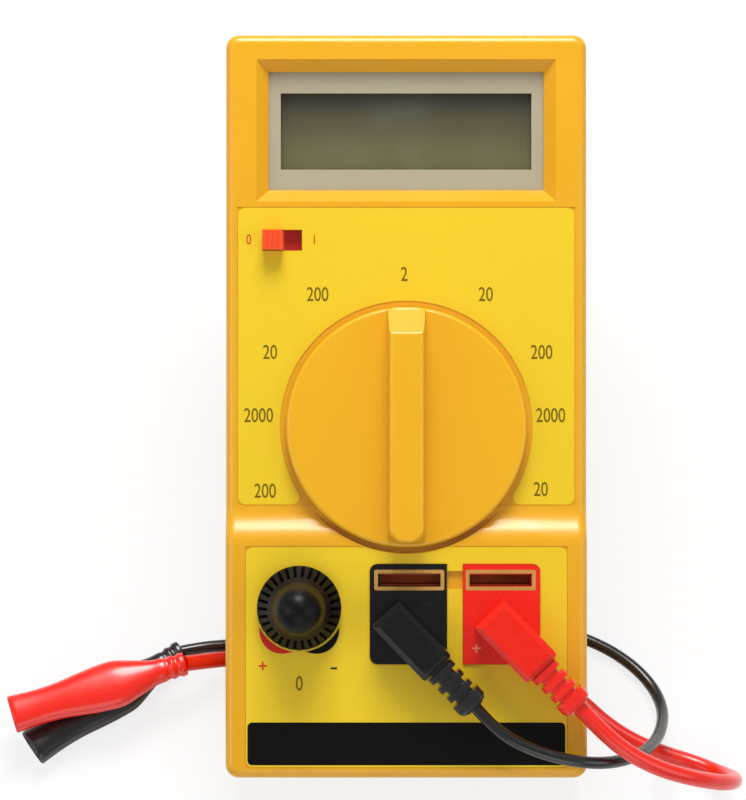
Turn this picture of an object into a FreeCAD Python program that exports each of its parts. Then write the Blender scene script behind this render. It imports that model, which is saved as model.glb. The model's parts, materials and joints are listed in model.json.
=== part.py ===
import FreeCAD, Part
import math
import os
import re
import Sketcher

# Hand-held capacitance meter with two clip leads, propped on its tilt stand.
# Millimetres. The case has its own frame: x to the right, y up the case from its bottom end and z out of
# the front, with z = 0 on the back. Every case piece is drawn there and then takes the case's tilt.
# The finished part stands on z = 0 with its origin under the middle of the case and stand.

DIMENSIONS = {
    # case
    "case_width": 88.0,
    "case_length": 181.0,
    "split_level": 19.0,
    "upper_face": 34.0,
    "lower_face": 37.0,
    "slope_low": 58.9,
    "slope_high": 63.7,
    "slope_blend": 7.5,
    "wall": 2.4,
    "corner_round": 3.2,
    "front_round": 2.2,
    "back_round": 3.0,
    # stance
    "tilt_angle": 25.0,
    "stand_opening": 80.0,
    # tilt stand and its well in the back
    "stand_width": 40.0,
    "stand_thick": 2.8,
    "hinge_y": 140.0,
    "hinge_z": 2.4,
    "hinge_pin_radius": 1.1,
    "barrel_radius": 2.0,
    "well_depth": 4.8,
    "well_margin": 0.6,
    "well_wall": 1.6,
    "stop_reach": 2.8,
    "stop_angle": 32.5,
    "stop_thick": 1.0,
    # running, seating and mating clearances
    "running_clearance": 0.05,
    "face_clearance": 0.02,
    "seat_clearance": 0.15,
    "open_clearance": 0.3,
    # case screws
    "screw_x": 38.4,
    "screw_low_y": 12.0,
    "screw_high_y": 114.0,
    "boss_radius": 3.4,
    "screw_radius": 1.4,
    "screw_head_radius": 2.6,
    "screw_head_height": 2.2,
    "counterbore_depth": 12.0,
    "screw_length": 14.0,
    # battery, its box and door
    "battery_length": 46.4,
    "battery_height": 26.5,
    "battery_thick": 17.5,
    "battery_x": -3.25,
    "battery_y": 58.25,
    "battery_base": 3.0,
    "stud_height": 3.0,
    "stud_radius": 3.1,
    "stud_pitch": 12.7,
    "snap_thick": 4.3,
    "box_length": 54.0,
    "box_height": 27.3,
    "box_wall": 1.1,
    "box_rim": 18.0,
    "ledge_margin": 2.0,
    "ledge_thick": 1.6,
    "door_length": 60.0,
    "door_low": 36.5,
    "door_high": 74.0,
    "door_thick": 2.2,
    "door_screw_x": 11.5,
    "door_screw_y": 39.4,
    "tab_x": 26.0,
    "tab_width": 4.0,
    "tab_reach": 2.0,
    "grip_line_pitch": 2.4,
    "wire_radius": 0.6,
    # display
    "display_y": 157.65,
    "opening_width": 67.3,
    "opening_height": 29.0,
    "recess_depth": 3.6,
    "recess_slope": 2.85,
    "collar_margin": 5.6,
    "bezel_thick": 1.4,
    "bezel_margin": 1.9,
    "window_width": 61.4,
    "window_height": 18.7,
    "pane_margin": 1.8,
    "pane_thick": 1.2,
    "glass_thick": 1.6,
    "frame_margin": 1.5,
    "zebra_width": 2.0,
    # labels
    "label_thick": 0.2,
    "label_sink": 0.25,
    "upper_label_width": 82.0,
    "upper_label_low": 66.4,
    "upper_label_high": 138.8,
    "lower_label_width": 78.0,
    "lower_label_low": 2.7,
    "lower_label_high": 56.2,
    "label_corner": 1.8,
    # selector
    "knob_y": 85.3,
    "knob_radius": 29.2,
    "knob_lift": 0.5,
    "disc_thick": 3.7,
    "disc_round": 0.9,
    "knob_gap": 1.4,
    "grip_width": 9.6,
    "grip_height": 8.6,
    "grip_draft": 4.5,
    "grip_low": 28.4,
    "grip_high": 28.6,
    "pointer_length": 8.0,
    "pointer_toe": 2.0,
    "hub_radius": 6.0,
    "key_width": 5.0,
    "key_depth": 2.0,
    "rotor_radius": 19.0,
    "rotor_thick": 3.0,
    "rotor_base": 26.6,
    "pilot_radius": 2.0,
    "notch_radius": 1.4,
    "spring_nose_radius": 0.8,
    "spring_thick": 0.4,
    "wiper_width": 1.4,
    "clip_thick": 0.7,
    "clip_radius": 3.6,
    # circuit board
    "board_base": 22.0,
    "board_thick": 1.6,
    "board_width": 68.4,
    "board_low": 20.5,
    "board_high": 171.0,
    "post_x": 31.0,
    "post_low_y": 23.8,
    "post_high_y": 118.0,
    "post_radius": 2.4,
    "board_screw_radius": 1.1,
    "board_screw_head": 2.1,
    "board_screw_head_height": 1.4,
    # zero adjuster
    "zero_x": -26.0,
    "zero_y": 41.5,
    "pot_radius": 8.0,
    "pot_height": 7.0,
    "bushing_radius": 3.4,
    "bushing_stand": 2.0,
    "nut_flats": 10.0,
    "nut_thick": 1.8,
    "shaft_radius": 3.0,
    "shaft_top": 48.0,
    "zero_skirt_radius": 10.2,
    "zero_skirt_height": 2.2,
    "zero_neck_radius": 6.6,
    "zero_neck_rise": 5.6,
    "zero_dome_radius": 5.9,
    "zero_top": 54.2,
    "zero_lift": 0.5,
    "flute_width": 0.75,
    "flute_depth": 2.6,
    # power switch
    "switch_slot_x": -30.25,
    "switch_y": 130.85,
    "switch_slot_width": 9.7,
    "switch_slot_height": 5.1,
    "switch_travel": 4.4,
    "switch_cap_height": 4.2,
    "switch_frame_wall": 1.0,
    # terminal blocks, component slots and jacks
    "block_width": 18.6,
    "block_height": 24.2,
    "block_y": 39.9,
    "black_block_x": 0.5,
    "red_block_x": 23.1,
    "block_base": 27.0,
    "block_proud": 0.4,
    "block_corner": 2.0,
    "flange_margin": 1.2,
    "flange_thick": 1.9,
    "slot_y": 48.2,
    "slot_width": 3.0,
    "slot_end_wall": 2.0,
    "slot_floor": 29.0,
    "bridge_depth": 1.0,
    "contact_thick": 0.3,
    "contact_top": 35.4,
    "jack_y": 36.2,
    "black_jack_x": -1.0,
    "red_jack_x": 24.0,
    "jack_radius": 2.9,
    "jack_bore": 2.0,
    "jack_base": 16.5,
    # plugs
    "plug_angle": -46.2,
    "plug_length": 18.3,
    "black_plug_width": 8.9,
    "red_plug_width": 10.0,
    "plug_thick": 9.6,
    "plug_back": 6.0,
    "plug_bevel": 1.3,
    "plug_pin_radius": 1.85,
    "plug_pin_length": 19.0,
    "relief_length": 13.2,
    "relief_core": 2.3,
    "relief_rib": 3.2,
    "relief_collar": 3.7,
    # leads and clips
    "black_lead_diameter": 3.0,
    "red_lead_diameter": 4.0,
    "clip_length": 46.0,
    "boot_wall": 0.8,
    "boot_neck_length": 6.0,
    "boot_bulge_half": 6.2,
    "boot_nose_half": 4.7,
    "boot_bulge_side": 3.4,
    "boot_nose_side": 3.2,
    "jaw_gap": 0.12,
    "jaw_half_width": 1.3,
    "jaw_pivot": 22.0,
    "jaw_pin_radius": 0.8,
    "cheek_thick": 0.7,
}

# Where each lead runs, from the strain relief's end to the clip's neck. Points chosen by hand on the floor
# and above it; the first and last are worked out from the plug and the clip.
LEAD_ROUTES = {
    "black": [
        (21.6, -81.2, 42.9),
        (29.5, -85.2, 41.4),
        (38.2, -87.6, 40.3),
        (47.2, -87.8, 37.8),
        (54.8, -84.4, 31.6),
        (60.6, -78.4, 22.6),
        (64.2, -70.8, 13.4),
        (65.6, -62.8, 6.2),
        (63.6, -55.2, 2.4),
        (58.2, -48.6, 1.6),
        (49.8, -43.0, 1.6),
        (37.6, -38.6, 1.6),
        (21.0, -36.2, 1.6),
        (2.0, -35.8, 1.6),
        (-17.0, -37.4, 1.6),
        (-33.0, -41.0, 1.6),
        (-44.4, -43.8, 2.3),
        (-51.6, -44.6, 3.2),
    ],
    "red": [
        (46.8, -81.0, 43.0),
        (53.2, -85.6, 40.0),
        (61.0, -88.4, 36.0),
        (69.4, -89.2, 31.4),
        (76.0, -88.4, 25.8),
        (80.8, -86.4, 19.4),
        (82.4, -82.8, 11.2),
        (79.4, -79.0, 4.4),
        (73.2, -75.4, 2.1),
        (65.6, -73.0, 2.1),
        (57.6, -69.6, 2.1),
        (50.6, -64.6, 2.1),
        (44.6, -58.4, 2.1),
        (35.6, -53.2, 2.1),
        (20.0, -50.0, 2.1),
        (-2.0, -49.8, 2.1),
        (-22.0, -48.6, 2.1),
        (-36.0, -47.2, 2.5),
        (-44.6, -48.2, 4.4),
        (-50.4, -50.2, 8.0),
    ],
}

# Neck and heading of each clip as it lies: the black one on the floor, the red one across it.
CLIP_PLACES = {
    "black": {"neck": (-57.2, -46.0, 3.7), "heading": -144.9},
    "red": {"neck": (-55.8, -52.0, 10.8), "heading": -162.4},
}

FLUTES = 30
DETENTS = 12
GRIP_LINES = 5

X_AXIS = FreeCAD.Vector(1, 0, 0)
Y_AXIS = FreeCAD.Vector(0, 1, 0)
Z_AXIS = FreeCAD.Vector(0, 0, 1)
ORIGIN = FreeCAD.Vector(0, 0, 0)

# Radius of the selector's recess, and the case's place above the floor and along it.
KNOB_WELL = "(knob_radius + knob_gap)"
STANCE_Z = "(-back_round * (sin(tilt_angle) + cos(tilt_angle) - 1))"
REAR_Y = "((case_length - back_round) * cos(tilt_angle) - back_round * sin(tilt_angle) + back_round)"
FRONT_Y = "(front_round * cos(tilt_angle) - (lower_face - front_round) * sin(tilt_angle) - front_round)"
STANCE_Y = f"(-({REAR_Y} + {FRONT_Y}) / 2)"

doc = FreeCAD.newDocument("capacitance_meter")
sheet = doc.addObject("Spreadsheet::Sheet", "dims")
for row, (alias, amount) in enumerate(DIMENSIONS.items(), start=1):
    sheet.set(f"A{row}", str(amount))
    sheet.setAlias(f"A{row}", alias)
doc.recompute()

published = []


# ---------------------------------------------------------------- expressions and values


def formula(text):
    """An expression that reads the sheet, from words that are its aliases."""

    def named(word):
        return f"dims.{word.group()}" if word.group() in DIMENSIONS else word.group()

    return re.sub(r"[a-z][a-z_0-9]*", named, text)


def bind(item, **sizes):
    for name, text in sizes.items():
        item.setExpression(name, formula(str(text)))
    return item


def size(alias):
    return float(sheet.get(alias))


def put(item, base, axis=None, angle=0):
    """Place an item at a point given by three expressions, turned about an axis."""
    if axis is not None:
        item.Placement = FreeCAD.Placement(ORIGIN, FreeCAD.Rotation(axis, 1))
        item.setExpression("Placement.Rotation.Angle", formula(str(angle)))
    for letter, text in zip("xyz", base):
        item.setExpression(f"Placement.Base.{letter}", formula(str(text)))
    return item


def publish(item, label, base=("0", STANCE_Y, STANCE_Z), axis=X_AXIS, angle="tilt_angle"):
    """Name a finished sub-part and give it its place in the standing part."""
    if item.TypeId in ("Part::Box", "Part::Cylinder"):
        item = group(item)
    item.Label = label
    put(item, base, axis, angle)
    published.append(item)
    return item


# ---------------------------------------------------------------- primitives and booleans


def box(low, high):
    """A box between two corners, each given by three expressions."""
    item = doc.addObject("Part::Box", "box")
    bind(
        item,
        Length=f"({high[0]}) - ({low[0]})",
        Width=f"({high[1]}) - ({low[1]})",
        Height=f"({high[2]}) - ({low[2]})",
    )
    return put(item, low)


def rod(radius, base, length, axis=None, angle=0):
    """A cylinder from a base point along z, or along z turned about an axis."""
    item = bind(doc.addObject("Part::Cylinder", "rod"), Radius=radius, Height=length)
    return put(item, base, axis, angle)


def taper(radius_low, radius_high, base, length, axis=None, angle=0):
    item = doc.addObject("Part::Cone", "taper")
    bind(item, Radius1=radius_low, Radius2=radius_high, Height=length)
    return put(item, base, axis, angle)


def hexagon(flats, base, length):
    item = bind(doc.addObject("Part::Prism", "hexagon"), Circumradius=f"({flats}) / sqrt(3)", Height=length)
    return put(item, base)


def fuse(*items):
    joined = doc.addObject("Part::MultiFuse", "joined")
    joined.Shapes = list(items)
    return joined


def cut(base, *tools):
    result = doc.addObject("Part::Cut", "result")
    result.Base = base
    result.Tool = tools[0] if len(tools) == 1 else fuse(*tools)
    return result


def group(*items):
    """Several separate solids that make one sub-part."""
    together = doc.addObject("Part::Compound", "group")
    together.Links = list(items)
    return together


def edge_names(shape, chosen):
    return [f"Edge{number}" for number, edge in enumerate(shape.Edges, start=1) if chosen(edge)]


def round_edges(item, radius, chosen):
    """Part::Fillet over the edges of an item that the test picks."""
    doc.recompute()
    rounded = doc.addObject("Part::Fillet", "rounded")
    rounded.Base = item
    rounded.Edges = [
        (number, size(radius), size(radius))
        for number, edge in enumerate(item.Shape.Edges, start=1)
        if chosen(edge)
    ]
    return rounded


# ---------------------------------------------------------------- sketched bodies


class Solid:
    """A PartDesign body that grows feature by feature, with every size bound to the sheet."""

    def __init__(self, name):
        self.body = doc.addObject("PartDesign::Body", name)

    def sketch(self, plane, level):
        item = self.body.newObject("Sketcher::SketchObject", "outline")
        item.AttachmentSupport = [(self.origin(plane), "")]
        item.MapMode = "FlatFace"
        item.setExpression("AttachmentOffset.Base.z", formula(level))
        return item

    def origin(self, role):
        return next(part for part in self.body.Origin.OriginFeatures if part.Role == role)

    def polygon(self, points, plane="XY_Plane", level="0"):
        """A closed outline of straight lines, each corner held by its two expressions."""
        item = self.sketch(plane, level)
        add_polygon(item, points)
        return item

    def rectangle(self, low, high, level="0"):
        corners = [low, (high[0], low[1]), high, (low[0], high[1])]
        return self.polygon(corners, level=level)

    def circles(self, centres, radius, level="0"):
        item = self.sketch("XY_Plane", level)
        for centre in centres:
            add_circle(item, centre, radius)
        return item

    def feature(self, kind, **links):
        item = self.body.newObject(kind, kind.split("::")[1].lower())
        for name, value in links.items():
            setattr(item, name, value)
        self.body.Tip = item
        return item

    def pad(self, outline, length, both_ways=False):
        item = self.feature("PartDesign::Pad", Profile=outline, Midplane=both_ways)
        return bind(item, Length=length)

    def pocket(self, outline, depth, both_ways=False):
        """A cut downwards from its outline, checked to have removed material."""
        doc.recompute()
        before = self.body.Shape.Volume
        item = self.feature("PartDesign::Pocket", Profile=outline, Midplane=both_ways)
        bind(item, Length=depth)
        doc.recompute()
        if self.body.Shape.Volume >= before:
            raise RuntimeError(f"{self.body.Name}: a pocket removed nothing")
        return item

    def soften(self, radius, chosen, kind="PartDesign::Fillet"):
        doc.recompute()
        names = edge_names(self.body.Shape, chosen)
        if not names:
            raise RuntimeError(f"{self.body.Name}: no edge to soften")
        item = self.feature(kind, Base=(self.body.Tip, names))
        return bind(item, **{"Size" if "Chamfer" in kind else "Radius": radius})


def add_polygon(item, points):
    start = item.GeometryCount
    count = len(points)
    turns = [2 * math.pi * index / count for index in range(count + 1)]
    places = [FreeCAD.Vector(math.cos(turn), math.sin(turn), 0) for turn in turns]
    item.addGeometry([Part.LineSegment(*places[index : index + 2]) for index in range(count)], False)
    for index in range(count):
        following = start + (index + 1) % count
        item.addConstraint(Sketcher.Constraint("Coincident", start + index, 2, following, 1))
    for index, point in enumerate(points):
        hold_point(item, start + index, 1, point)


def add_circle(item, centre, radius):
    index = item.addGeometry(Part.Circle(ORIGIN, Z_AXIS, 1), False)
    hold_point(item, index, 3, centre)
    held = item.addConstraint(Sketcher.Constraint("Radius", index, 1.0))
    item.renameConstraint(held, f"radius_{index}")
    item.setExpression(f"Constraints.radius_{index}", formula(radius))


def hold_point(item, index, place, point):
    """Hold one point of a sketch at two expressions from the sketch's origin."""
    for kind, text in zip(("DistanceX", "DistanceY"), point):
        held = item.addConstraint(Sketcher.Constraint(kind, -1, 1, index, place, 1.0))
        name = f"{kind[-1].lower()}_{index}"
        item.renameConstraint(held, name)
        item.setExpression(f"Constraints.{name}", formula(text))


# ---------------------------------------------------------------- edge tests


def runs_along(edge, axis):
    if edge.Curve.TypeId != "Part::GeomLine":
        return False
    direction = edge.Curve.Direction
    return abs(abs(direction.dot(axis)) - 1) < 1e-6


def at_level(edge, level, tolerance=0.01):
    bounds = edge.BoundBox
    return abs(bounds.ZMin - level) < tolerance and abs(bounds.ZMax - level) < tolerance


def outer_corner(edge):
    """An upright edge at one of the case's four outer corners."""
    bounds = edge.BoundBox
    side = abs(abs(bounds.Center.x) - size("case_width") / 2) < 0.01
    end = min(abs(bounds.Center.y), abs(bounds.Center.y - size("case_length"))) < 0.01
    return runs_along(edge, Z_AXIS) and side and end


# ---------------------------------------------------------------- case


def front_case():
    case = Solid("front_case")
    side = [
        ("0", "split_level"),
        ("0", "lower_face"),
        ("slope_low", "lower_face"),
        ("slope_high", "upper_face"),
        ("case_length", "upper_face"),
        ("case_length", "split_level"),
    ]
    case.pad(case.polygon(side, "YZ_Plane"), "case_width", both_ways=True)
    case.soften("slope_blend", slope_end)
    case.soften("corner_round", outer_corner)
    case.soften("front_round", front_outline)
    thick_end = f"(knob_y - {KNOB_WELL} - 5)"
    hollow = [
        ("wall", "split_level - 1"),
        ("wall", "lower_face - wall"),
        (f"{thick_end} - 4", "lower_face - wall"),
        (thick_end, "upper_face - wall"),
        ("case_length - wall", "upper_face - wall"),
        ("case_length - wall", "split_level - 1"),
    ]
    case.pocket(case.polygon(hollow, "YZ_Plane"), "case_width - 2 * wall", both_ways=True)
    add_front_bosses(case)
    add_display_opening(case)
    cut_front_openings(case)
    cut_label_seats(case)
    publish(case.body, "front_case")


def slope_end(edge):
    """An edge across the case where the sloping step starts or ends."""
    y = edge.BoundBox.Center.y
    near = min(abs(y - size("slope_low")), abs(y - size("slope_high"))) < 0.01
    return runs_along(edge, X_AXIS) and near


def front_outline(edge):
    """An edge of the front's outer outline, above the side walls and clear of the split."""
    bounds = edge.BoundBox
    reach = size("corner_round") + 0.01
    near_side = abs(abs(bounds.Center.x) - size("case_width") / 2) < reach
    near_end = min(abs(bounds.Center.y), abs(bounds.Center.y - size("case_length"))) < reach
    upright = runs_along(edge, Z_AXIS)
    return (near_side or near_end) and bounds.ZMin > size("upper_face") - 0.01 and not upright


def screw_places():
    return [(x, y) for x in ("-screw_x", "screw_x") for y in ("screw_low_y", "screw_high_y")]


def post_places():
    return [(x, y) for x in ("-post_x", "post_x") for y in ("post_low_y", "post_high_y")]


def add_front_bosses(case):
    for end, face in (("low", "lower_face"), ("high", "upper_face")):
        bosses = [place for place in screw_places() if end in place[1]]
        case.pad(case.circles(bosses, "boss_radius", "split_level"), f"{face} - wall / 2 - split_level")
    top_of_board = "board_base + board_thick"
    for end, face in (("low", "lower_face"), ("high", "upper_face")):
        posts = [place for place in post_places() if end in place[1]]
        outline = case.circles(posts, "post_radius", top_of_board)
        case.pad(outline, f"{face} - wall / 2 - ({top_of_board})")
    thread = "screw_radius + running_clearance"
    case.pocket(case.circles(screw_places(), thread, "split_level + screw_length - 4"), "screw_length")
    thread = "board_screw_radius + running_clearance"
    case.pocket(case.circles(post_places(), thread, f"{top_of_board} + 5"), "5")


def add_display_opening(case):
    half_wide = "(opening_width / 2 + collar_margin)"
    half_high = "(opening_height / 2 + collar_margin)"
    low = (f"-{half_wide}", f"display_y - {half_high}")
    high = (half_wide, f"display_y + {half_high}")
    floor = "upper_face - recess_depth"
    case.pad(case.rectangle(low, high, floor), f"upper_face - wall / 2 - ({floor})")
    low = ("-opening_width / 2", "display_y - opening_height / 2")
    high = ("opening_width / 2", "display_y + opening_height / 2")
    case.pocket(case.rectangle(low, high, "upper_face + 1"), "recess_depth + 2")
    case.soften("recess_slope", display_mouth, "PartDesign::Chamfer")


def display_mouth(edge):
    bounds = edge.BoundBox
    inside = abs(bounds.Center.x) < size("opening_width") / 2 + 0.01
    centred = abs(bounds.Center.y - size("display_y")) < size("opening_height") / 2 + 0.01
    return at_level(edge, size("upper_face")) and inside and centred


def cut_front_openings(case):
    above = "lower_face + 2"
    case.pocket(case.circles([("0", "knob_y")], KNOB_WELL, above), f"{above} - upper_face")
    hub = case.circles([("0", "knob_y")], "hub_radius + open_clearance", above)
    case.pocket(hub, "lower_face - rotor_base")
    bush = case.circles([("zero_x", "zero_y")], "bushing_radius + seat_clearance", above)
    case.pocket(bush, "wall + 4")
    for side in ("black", "red"):
        low, high = block_outline(side, "running_clearance")
        case.pocket(case.rectangle(low, high, above), "lower_face - upper_face + wall + 4")
    case.soften("block_corner", opening_corner)
    low = ("black_block_x", "slot_y - slot_width / 2 - 0.6")
    high = ("red_block_x", "slot_y + slot_width / 2 + 0.6")
    case.pocket(case.rectangle(low, high, above), f"{above} - lower_face + bridge_depth")
    low, high = switch_slot()
    case.pocket(case.rectangle(low, high, above), f"{above} - upper_face + 2 * wall")


def opening_corner(edge, margin="running_clearance"):
    """An upright edge at the outer corners of the terminal blocks' openings."""
    centre = edge.BoundBox.Center
    reach = size("block_width") / 2 + size(margin)
    outer = (size("black_block_x") - reach, size("red_block_x") + reach)
    half = size("block_height") / 2 + size(margin)
    beside = min(abs(centre.x - x) for x in outer) < 0.01
    at_end = abs(abs(centre.y - size("block_y")) - half) < 0.01
    return runs_along(edge, Z_AXIS) and beside and at_end


def block_outline(side, margin):
    """The corners of a terminal block seen from the front, grown by a margin."""
    centre = f"{side}_block_x"
    low = (f"{centre} - block_width / 2 - {margin}", f"block_y - block_height / 2 - {margin}")
    high = (f"{centre} + block_width / 2 + {margin}", f"block_y + block_height / 2 + {margin}")
    return low, high


def switch_slot():
    half_wide, half_high = "switch_slot_width / 2", "switch_slot_height / 2"
    low = (f"switch_slot_x - {half_wide}", f"switch_y - {half_high}")
    high = (f"switch_slot_x + {half_wide}", f"switch_y + {half_high}")
    return low, high


def cut_label_seats(case):
    """Shallow seats for the two labels; the knob's well and the openings have already been cut."""
    low = ("-upper_label_width / 2 - seat_clearance", "upper_label_low - seat_clearance")
    high = ("upper_label_width / 2 + seat_clearance", "upper_label_high + seat_clearance")
    case.pocket(case.rectangle(low, high, "upper_face + 1"), "label_sink + 1")
    low = ("-lower_label_width / 2 - seat_clearance", "lower_label_low - seat_clearance")
    high = ("lower_label_width / 2 + seat_clearance", "lower_label_high + seat_clearance")
    case.pocket(case.rectangle(low, high, "lower_face + 1"), "label_sink + 1")


def back_case():
    case = Solid("back_shell")
    case.pad(case.rectangle(("-case_width / 2", "0"), ("case_width / 2", "case_length")), "split_level")
    case.soften("corner_round", outer_corner)
    case.soften("back_round", lambda edge: at_level(edge, 0))
    low = ("-case_width / 2 + wall", "wall")
    high = ("case_width / 2 - wall", "case_length - wall")
    case.pocket(case.rectangle(low, high, "split_level + 1"), "split_level + 1 - wall")
    case.pad(case.circles(screw_places(), "boss_radius", "wall / 2"), "split_level - wall / 2")
    add_battery_box(case)
    add_stand_well(case)
    shanks = case.circles(screw_places(), "screw_radius + seat_clearance", "split_level + 1")
    case.pocket(shanks, "split_level + 2")
    heads = case.circles(screw_places(), "screw_head_radius + open_clearance", "counterbore_depth")
    case.pocket(heads, "counterbore_depth + 1")
    shell = cut(case.body, hinge_pin("hinge_pin_radius + running_clearance / 2", "0.2"))
    publish(shell, "back_case")


def add_battery_box(case):
    """A ledge round the door's opening and the box that holds the battery."""
    low = ("-box_length / 2 - box_wall", "battery_y - box_height / 2 - box_wall")
    high = ("box_length / 2 + box_wall", "battery_y + box_height / 2 + box_wall")
    ledge_low = ("-door_length / 2 - ledge_margin", "door_low - ledge_margin")
    ledge_high = ("door_length / 2 + ledge_margin", high[1])
    case.pad(case.rectangle(ledge_low, ledge_high, "wall / 2"), "wall / 2 + ledge_thick")
    case.pad(case.rectangle(low, high, "wall"), "box_rim - wall")
    screw = [("door_screw_x", "door_screw_y")]
    case.pad(case.circles(screw, "boss_radius", "wall"), "8")
    low = ("-box_length / 2", "battery_y - box_height / 2")
    high = ("box_length / 2", "battery_y + box_height / 2")
    case.pocket(case.rectangle(low, high, "box_rim + 1"), "box_rim + 2")
    low = ("-door_length / 2 - seat_clearance", "door_low - seat_clearance")
    high = ("door_length / 2 + seat_clearance", "door_high + seat_clearance")
    case.pocket(case.rectangle(low, high, "wall"), "wall + 1")
    case.pocket(case.circles(screw, "screw_radius + running_clearance", "wall + 7"), "8")


def well_low():
    return f"hinge_y - {STAND_REACH} - stand_thick / 2 - 1"


def add_stand_well(case):
    """The raised floor over the stand's well, then the well itself, open to the back."""
    half = "stand_width / 2 + well_margin"
    top = "hinge_y + stop_reach + well_margin"
    low = (f"-({half}) - well_wall", f"{well_low()} - well_wall")
    high = (f"{half} + well_wall", f"{top} + well_wall")
    case.pad(case.rectangle(low, high, "wall / 2"), "well_depth + well_wall - wall / 2")
    case.pocket(case.rectangle((f"-({half})", well_low()), (half, top), "well_depth"), "well_depth + 1")


# Hinge height above the floor, and the pin-to-foot distance that sets the case at its tilt.
HINGE_RISE = f"({STANCE_Z} + hinge_y * sin(tilt_angle) + hinge_z * cos(tilt_angle))"
STAND_REACH = f"(({HINGE_RISE} - stand_thick / 2) / sin(tilt_angle + stand_opening))"


def hinge_pin(radius, overrun):
    half = f"(stand_width / 2 + well_margin + well_wall + {overrun})"
    return rod(radius, (f"-{half}", "hinge_y", "hinge_z"), f"2 * {half}", Y_AXIS, 90)


def tilt_stand():
    """The stand in its own frame: its pin on the x axis and its foot towards -y when folded."""
    half = "stand_width / 2"
    plate = box((f"-{half}", f"-{STAND_REACH}", "-stand_thick / 2"), (half, "0", "stand_thick / 2"))
    barrel = rod("barrel_radius", (f"-{half}", "0", "0"), "stand_width", Y_AXIS, 90)
    foot = rod("stand_thick / 2", (f"-{half}", f"-{STAND_REACH}", "0"), "stand_width", Y_AXIS, 90)
    stop = box((f"-{half} + 2", "0", "0"), (f"{half} - 2", "stop_reach", "stop_thick"))
    put(stop, (f"-{half} + 2", "0", "0"), X_AXIS, "stop_angle - stand_opening")
    left = (f"-{half} - 1", "0", "0")
    bore = rod("hinge_pin_radius + running_clearance", left, "stand_width + 2", Y_AXIS, 90)
    notch_centre = ("0", f"-{STAND_REACH} - stand_width / 7", "-stand_thick")
    finger = rod("stand_width / 5", notch_centre, "2 * stand_thick")
    stand = cut(fuse(plate, barrel, foot, stop), bore, finger)
    base = (
        "0",
        f"{STANCE_Y} + hinge_y * cos(tilt_angle) - hinge_z * sin(tilt_angle)",
        HINGE_RISE,
    )
    publish(stand, "tilt_stand", base, X_AXIS, "tilt_angle + stand_opening")
    publish(hinge_pin("hinge_pin_radius", "0"), "stand_pin")


def screw(radius, head_radius, head_height, base, length):
    """A pan-head screw that points up z, its head seated at the base, with a crossed drive."""
    x, y, z = base
    shank = rod(radius, base, length)
    head = rod(head_radius, (x, y, f"{z} - {head_height}"), head_height)
    long_half, short_half = f"{head_radius} * 0.6", f"{head_radius} * 0.12"
    low, high = f"{z} - {head_height} - 1", f"{z} - {head_height} / 2"
    slots = [
        box((f"{x} - {wide}", f"{y} - {deep}", low), (f"{x} + {wide}", f"{y} + {deep}", high))
        for wide, deep in ((long_half, short_half), (short_half, long_half))
    ]
    return cut(fuse(shank, head), *slots)


def fasteners():
    case_size = ("screw_radius", "screw_head_radius", "screw_head_height")
    seats = [(x, y, "counterbore_depth") for x, y in screw_places()]
    publish(group(*[screw(*case_size, seat, "screw_length") for seat in seats]), "case_screws")
    board_size = ("board_screw_radius", "board_screw_head", "board_screw_head_height")
    seats = [(x, y, "board_base") for x, y in post_places()]
    publish(group(*[screw(*board_size, seat, "board_thick + 4") for seat in seats]), "board_screws")
    door_size = ("screw_radius", "screw_head_radius", "door_thick / 2 - 0.1")
    seat = ("door_screw_x", "door_screw_y", "door_thick / 2")
    publish(screw(*door_size, seat, "wall + 5"), "battery_door_screw")


def battery_door():
    plate = box(("-door_length / 2", "door_low", "0"), ("door_length / 2", "door_high", "door_thick"))
    edge = "(battery_y + box_height / 2 + box_wall + seat_clearance)"
    tabs = []
    tab_top = "wall + ledge_thick - 0.1"
    for side in ("-tab_x", "tab_x"):
        left, right = f"{side} - tab_width / 2", f"{side} + tab_width / 2"
        tabs.append(box((left, edge, "door_thick / 2"), (right, "door_high", tab_top)))
        tabs.append(box((left, edge, "wall + seat_clearance"), (right, "door_high + tab_reach", tab_top)))
    spot = ("door_screw_x", "door_screw_y")
    hole = rod("screw_radius + seat_clearance", (*spot, "-1"), "door_thick + 2")
    sink = rod("screw_head_radius + seat_clearance", (*spot, "-1"), "1 + door_thick / 2")
    ribs = []
    for step in range(GRIP_LINES):
        low_y = f"door_low + 5 + {step} * grip_line_pitch"
        low = ("-door_length / 3", low_y, "-1")
        ribs.append(box(low, ("door_length / 10", f"{low_y} + grip_line_pitch * 0.4", "0.4")))
    publish(cut(fuse(plate, *tabs), hole, sink, *ribs), "battery_door")


# ---------------------------------------------------------------- battery


def battery():
    left = "(battery_x - battery_length / 2)"
    right = "(battery_x + battery_length / 2)"
    low = (left, "battery_y - battery_height / 2", "battery_base")
    high = (right, "battery_y + battery_height / 2", "battery_base + battery_thick")
    can = round_edges(box(low, high), "back_round", lambda edge: runs_along(edge, X_AXIS))
    middle = "battery_base + battery_thick / 2"
    feet = [(right, f"battery_y + {side} * stud_pitch / 2", middle) for side in (-1, 1)]
    studs = [rod("stud_radius", foot, "stud_height", Y_AXIS, 90) for foot in feet]
    publish(fuse(can, *studs), "battery")
    low = (f"{right} + 0.1", "battery_y - battery_height / 2 + 1", f"{middle} - 6")
    high = (f"{right} + 0.1 + snap_thick", "battery_y + battery_height / 2 - 1", f"{middle} + 6")
    holes = [rod("stud_radius + 0.1", foot, "stud_height + 0.4", Y_AXIS, 90) for foot in feet]
    publish(cut(box(low, high), *holes), "battery_snap")


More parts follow.
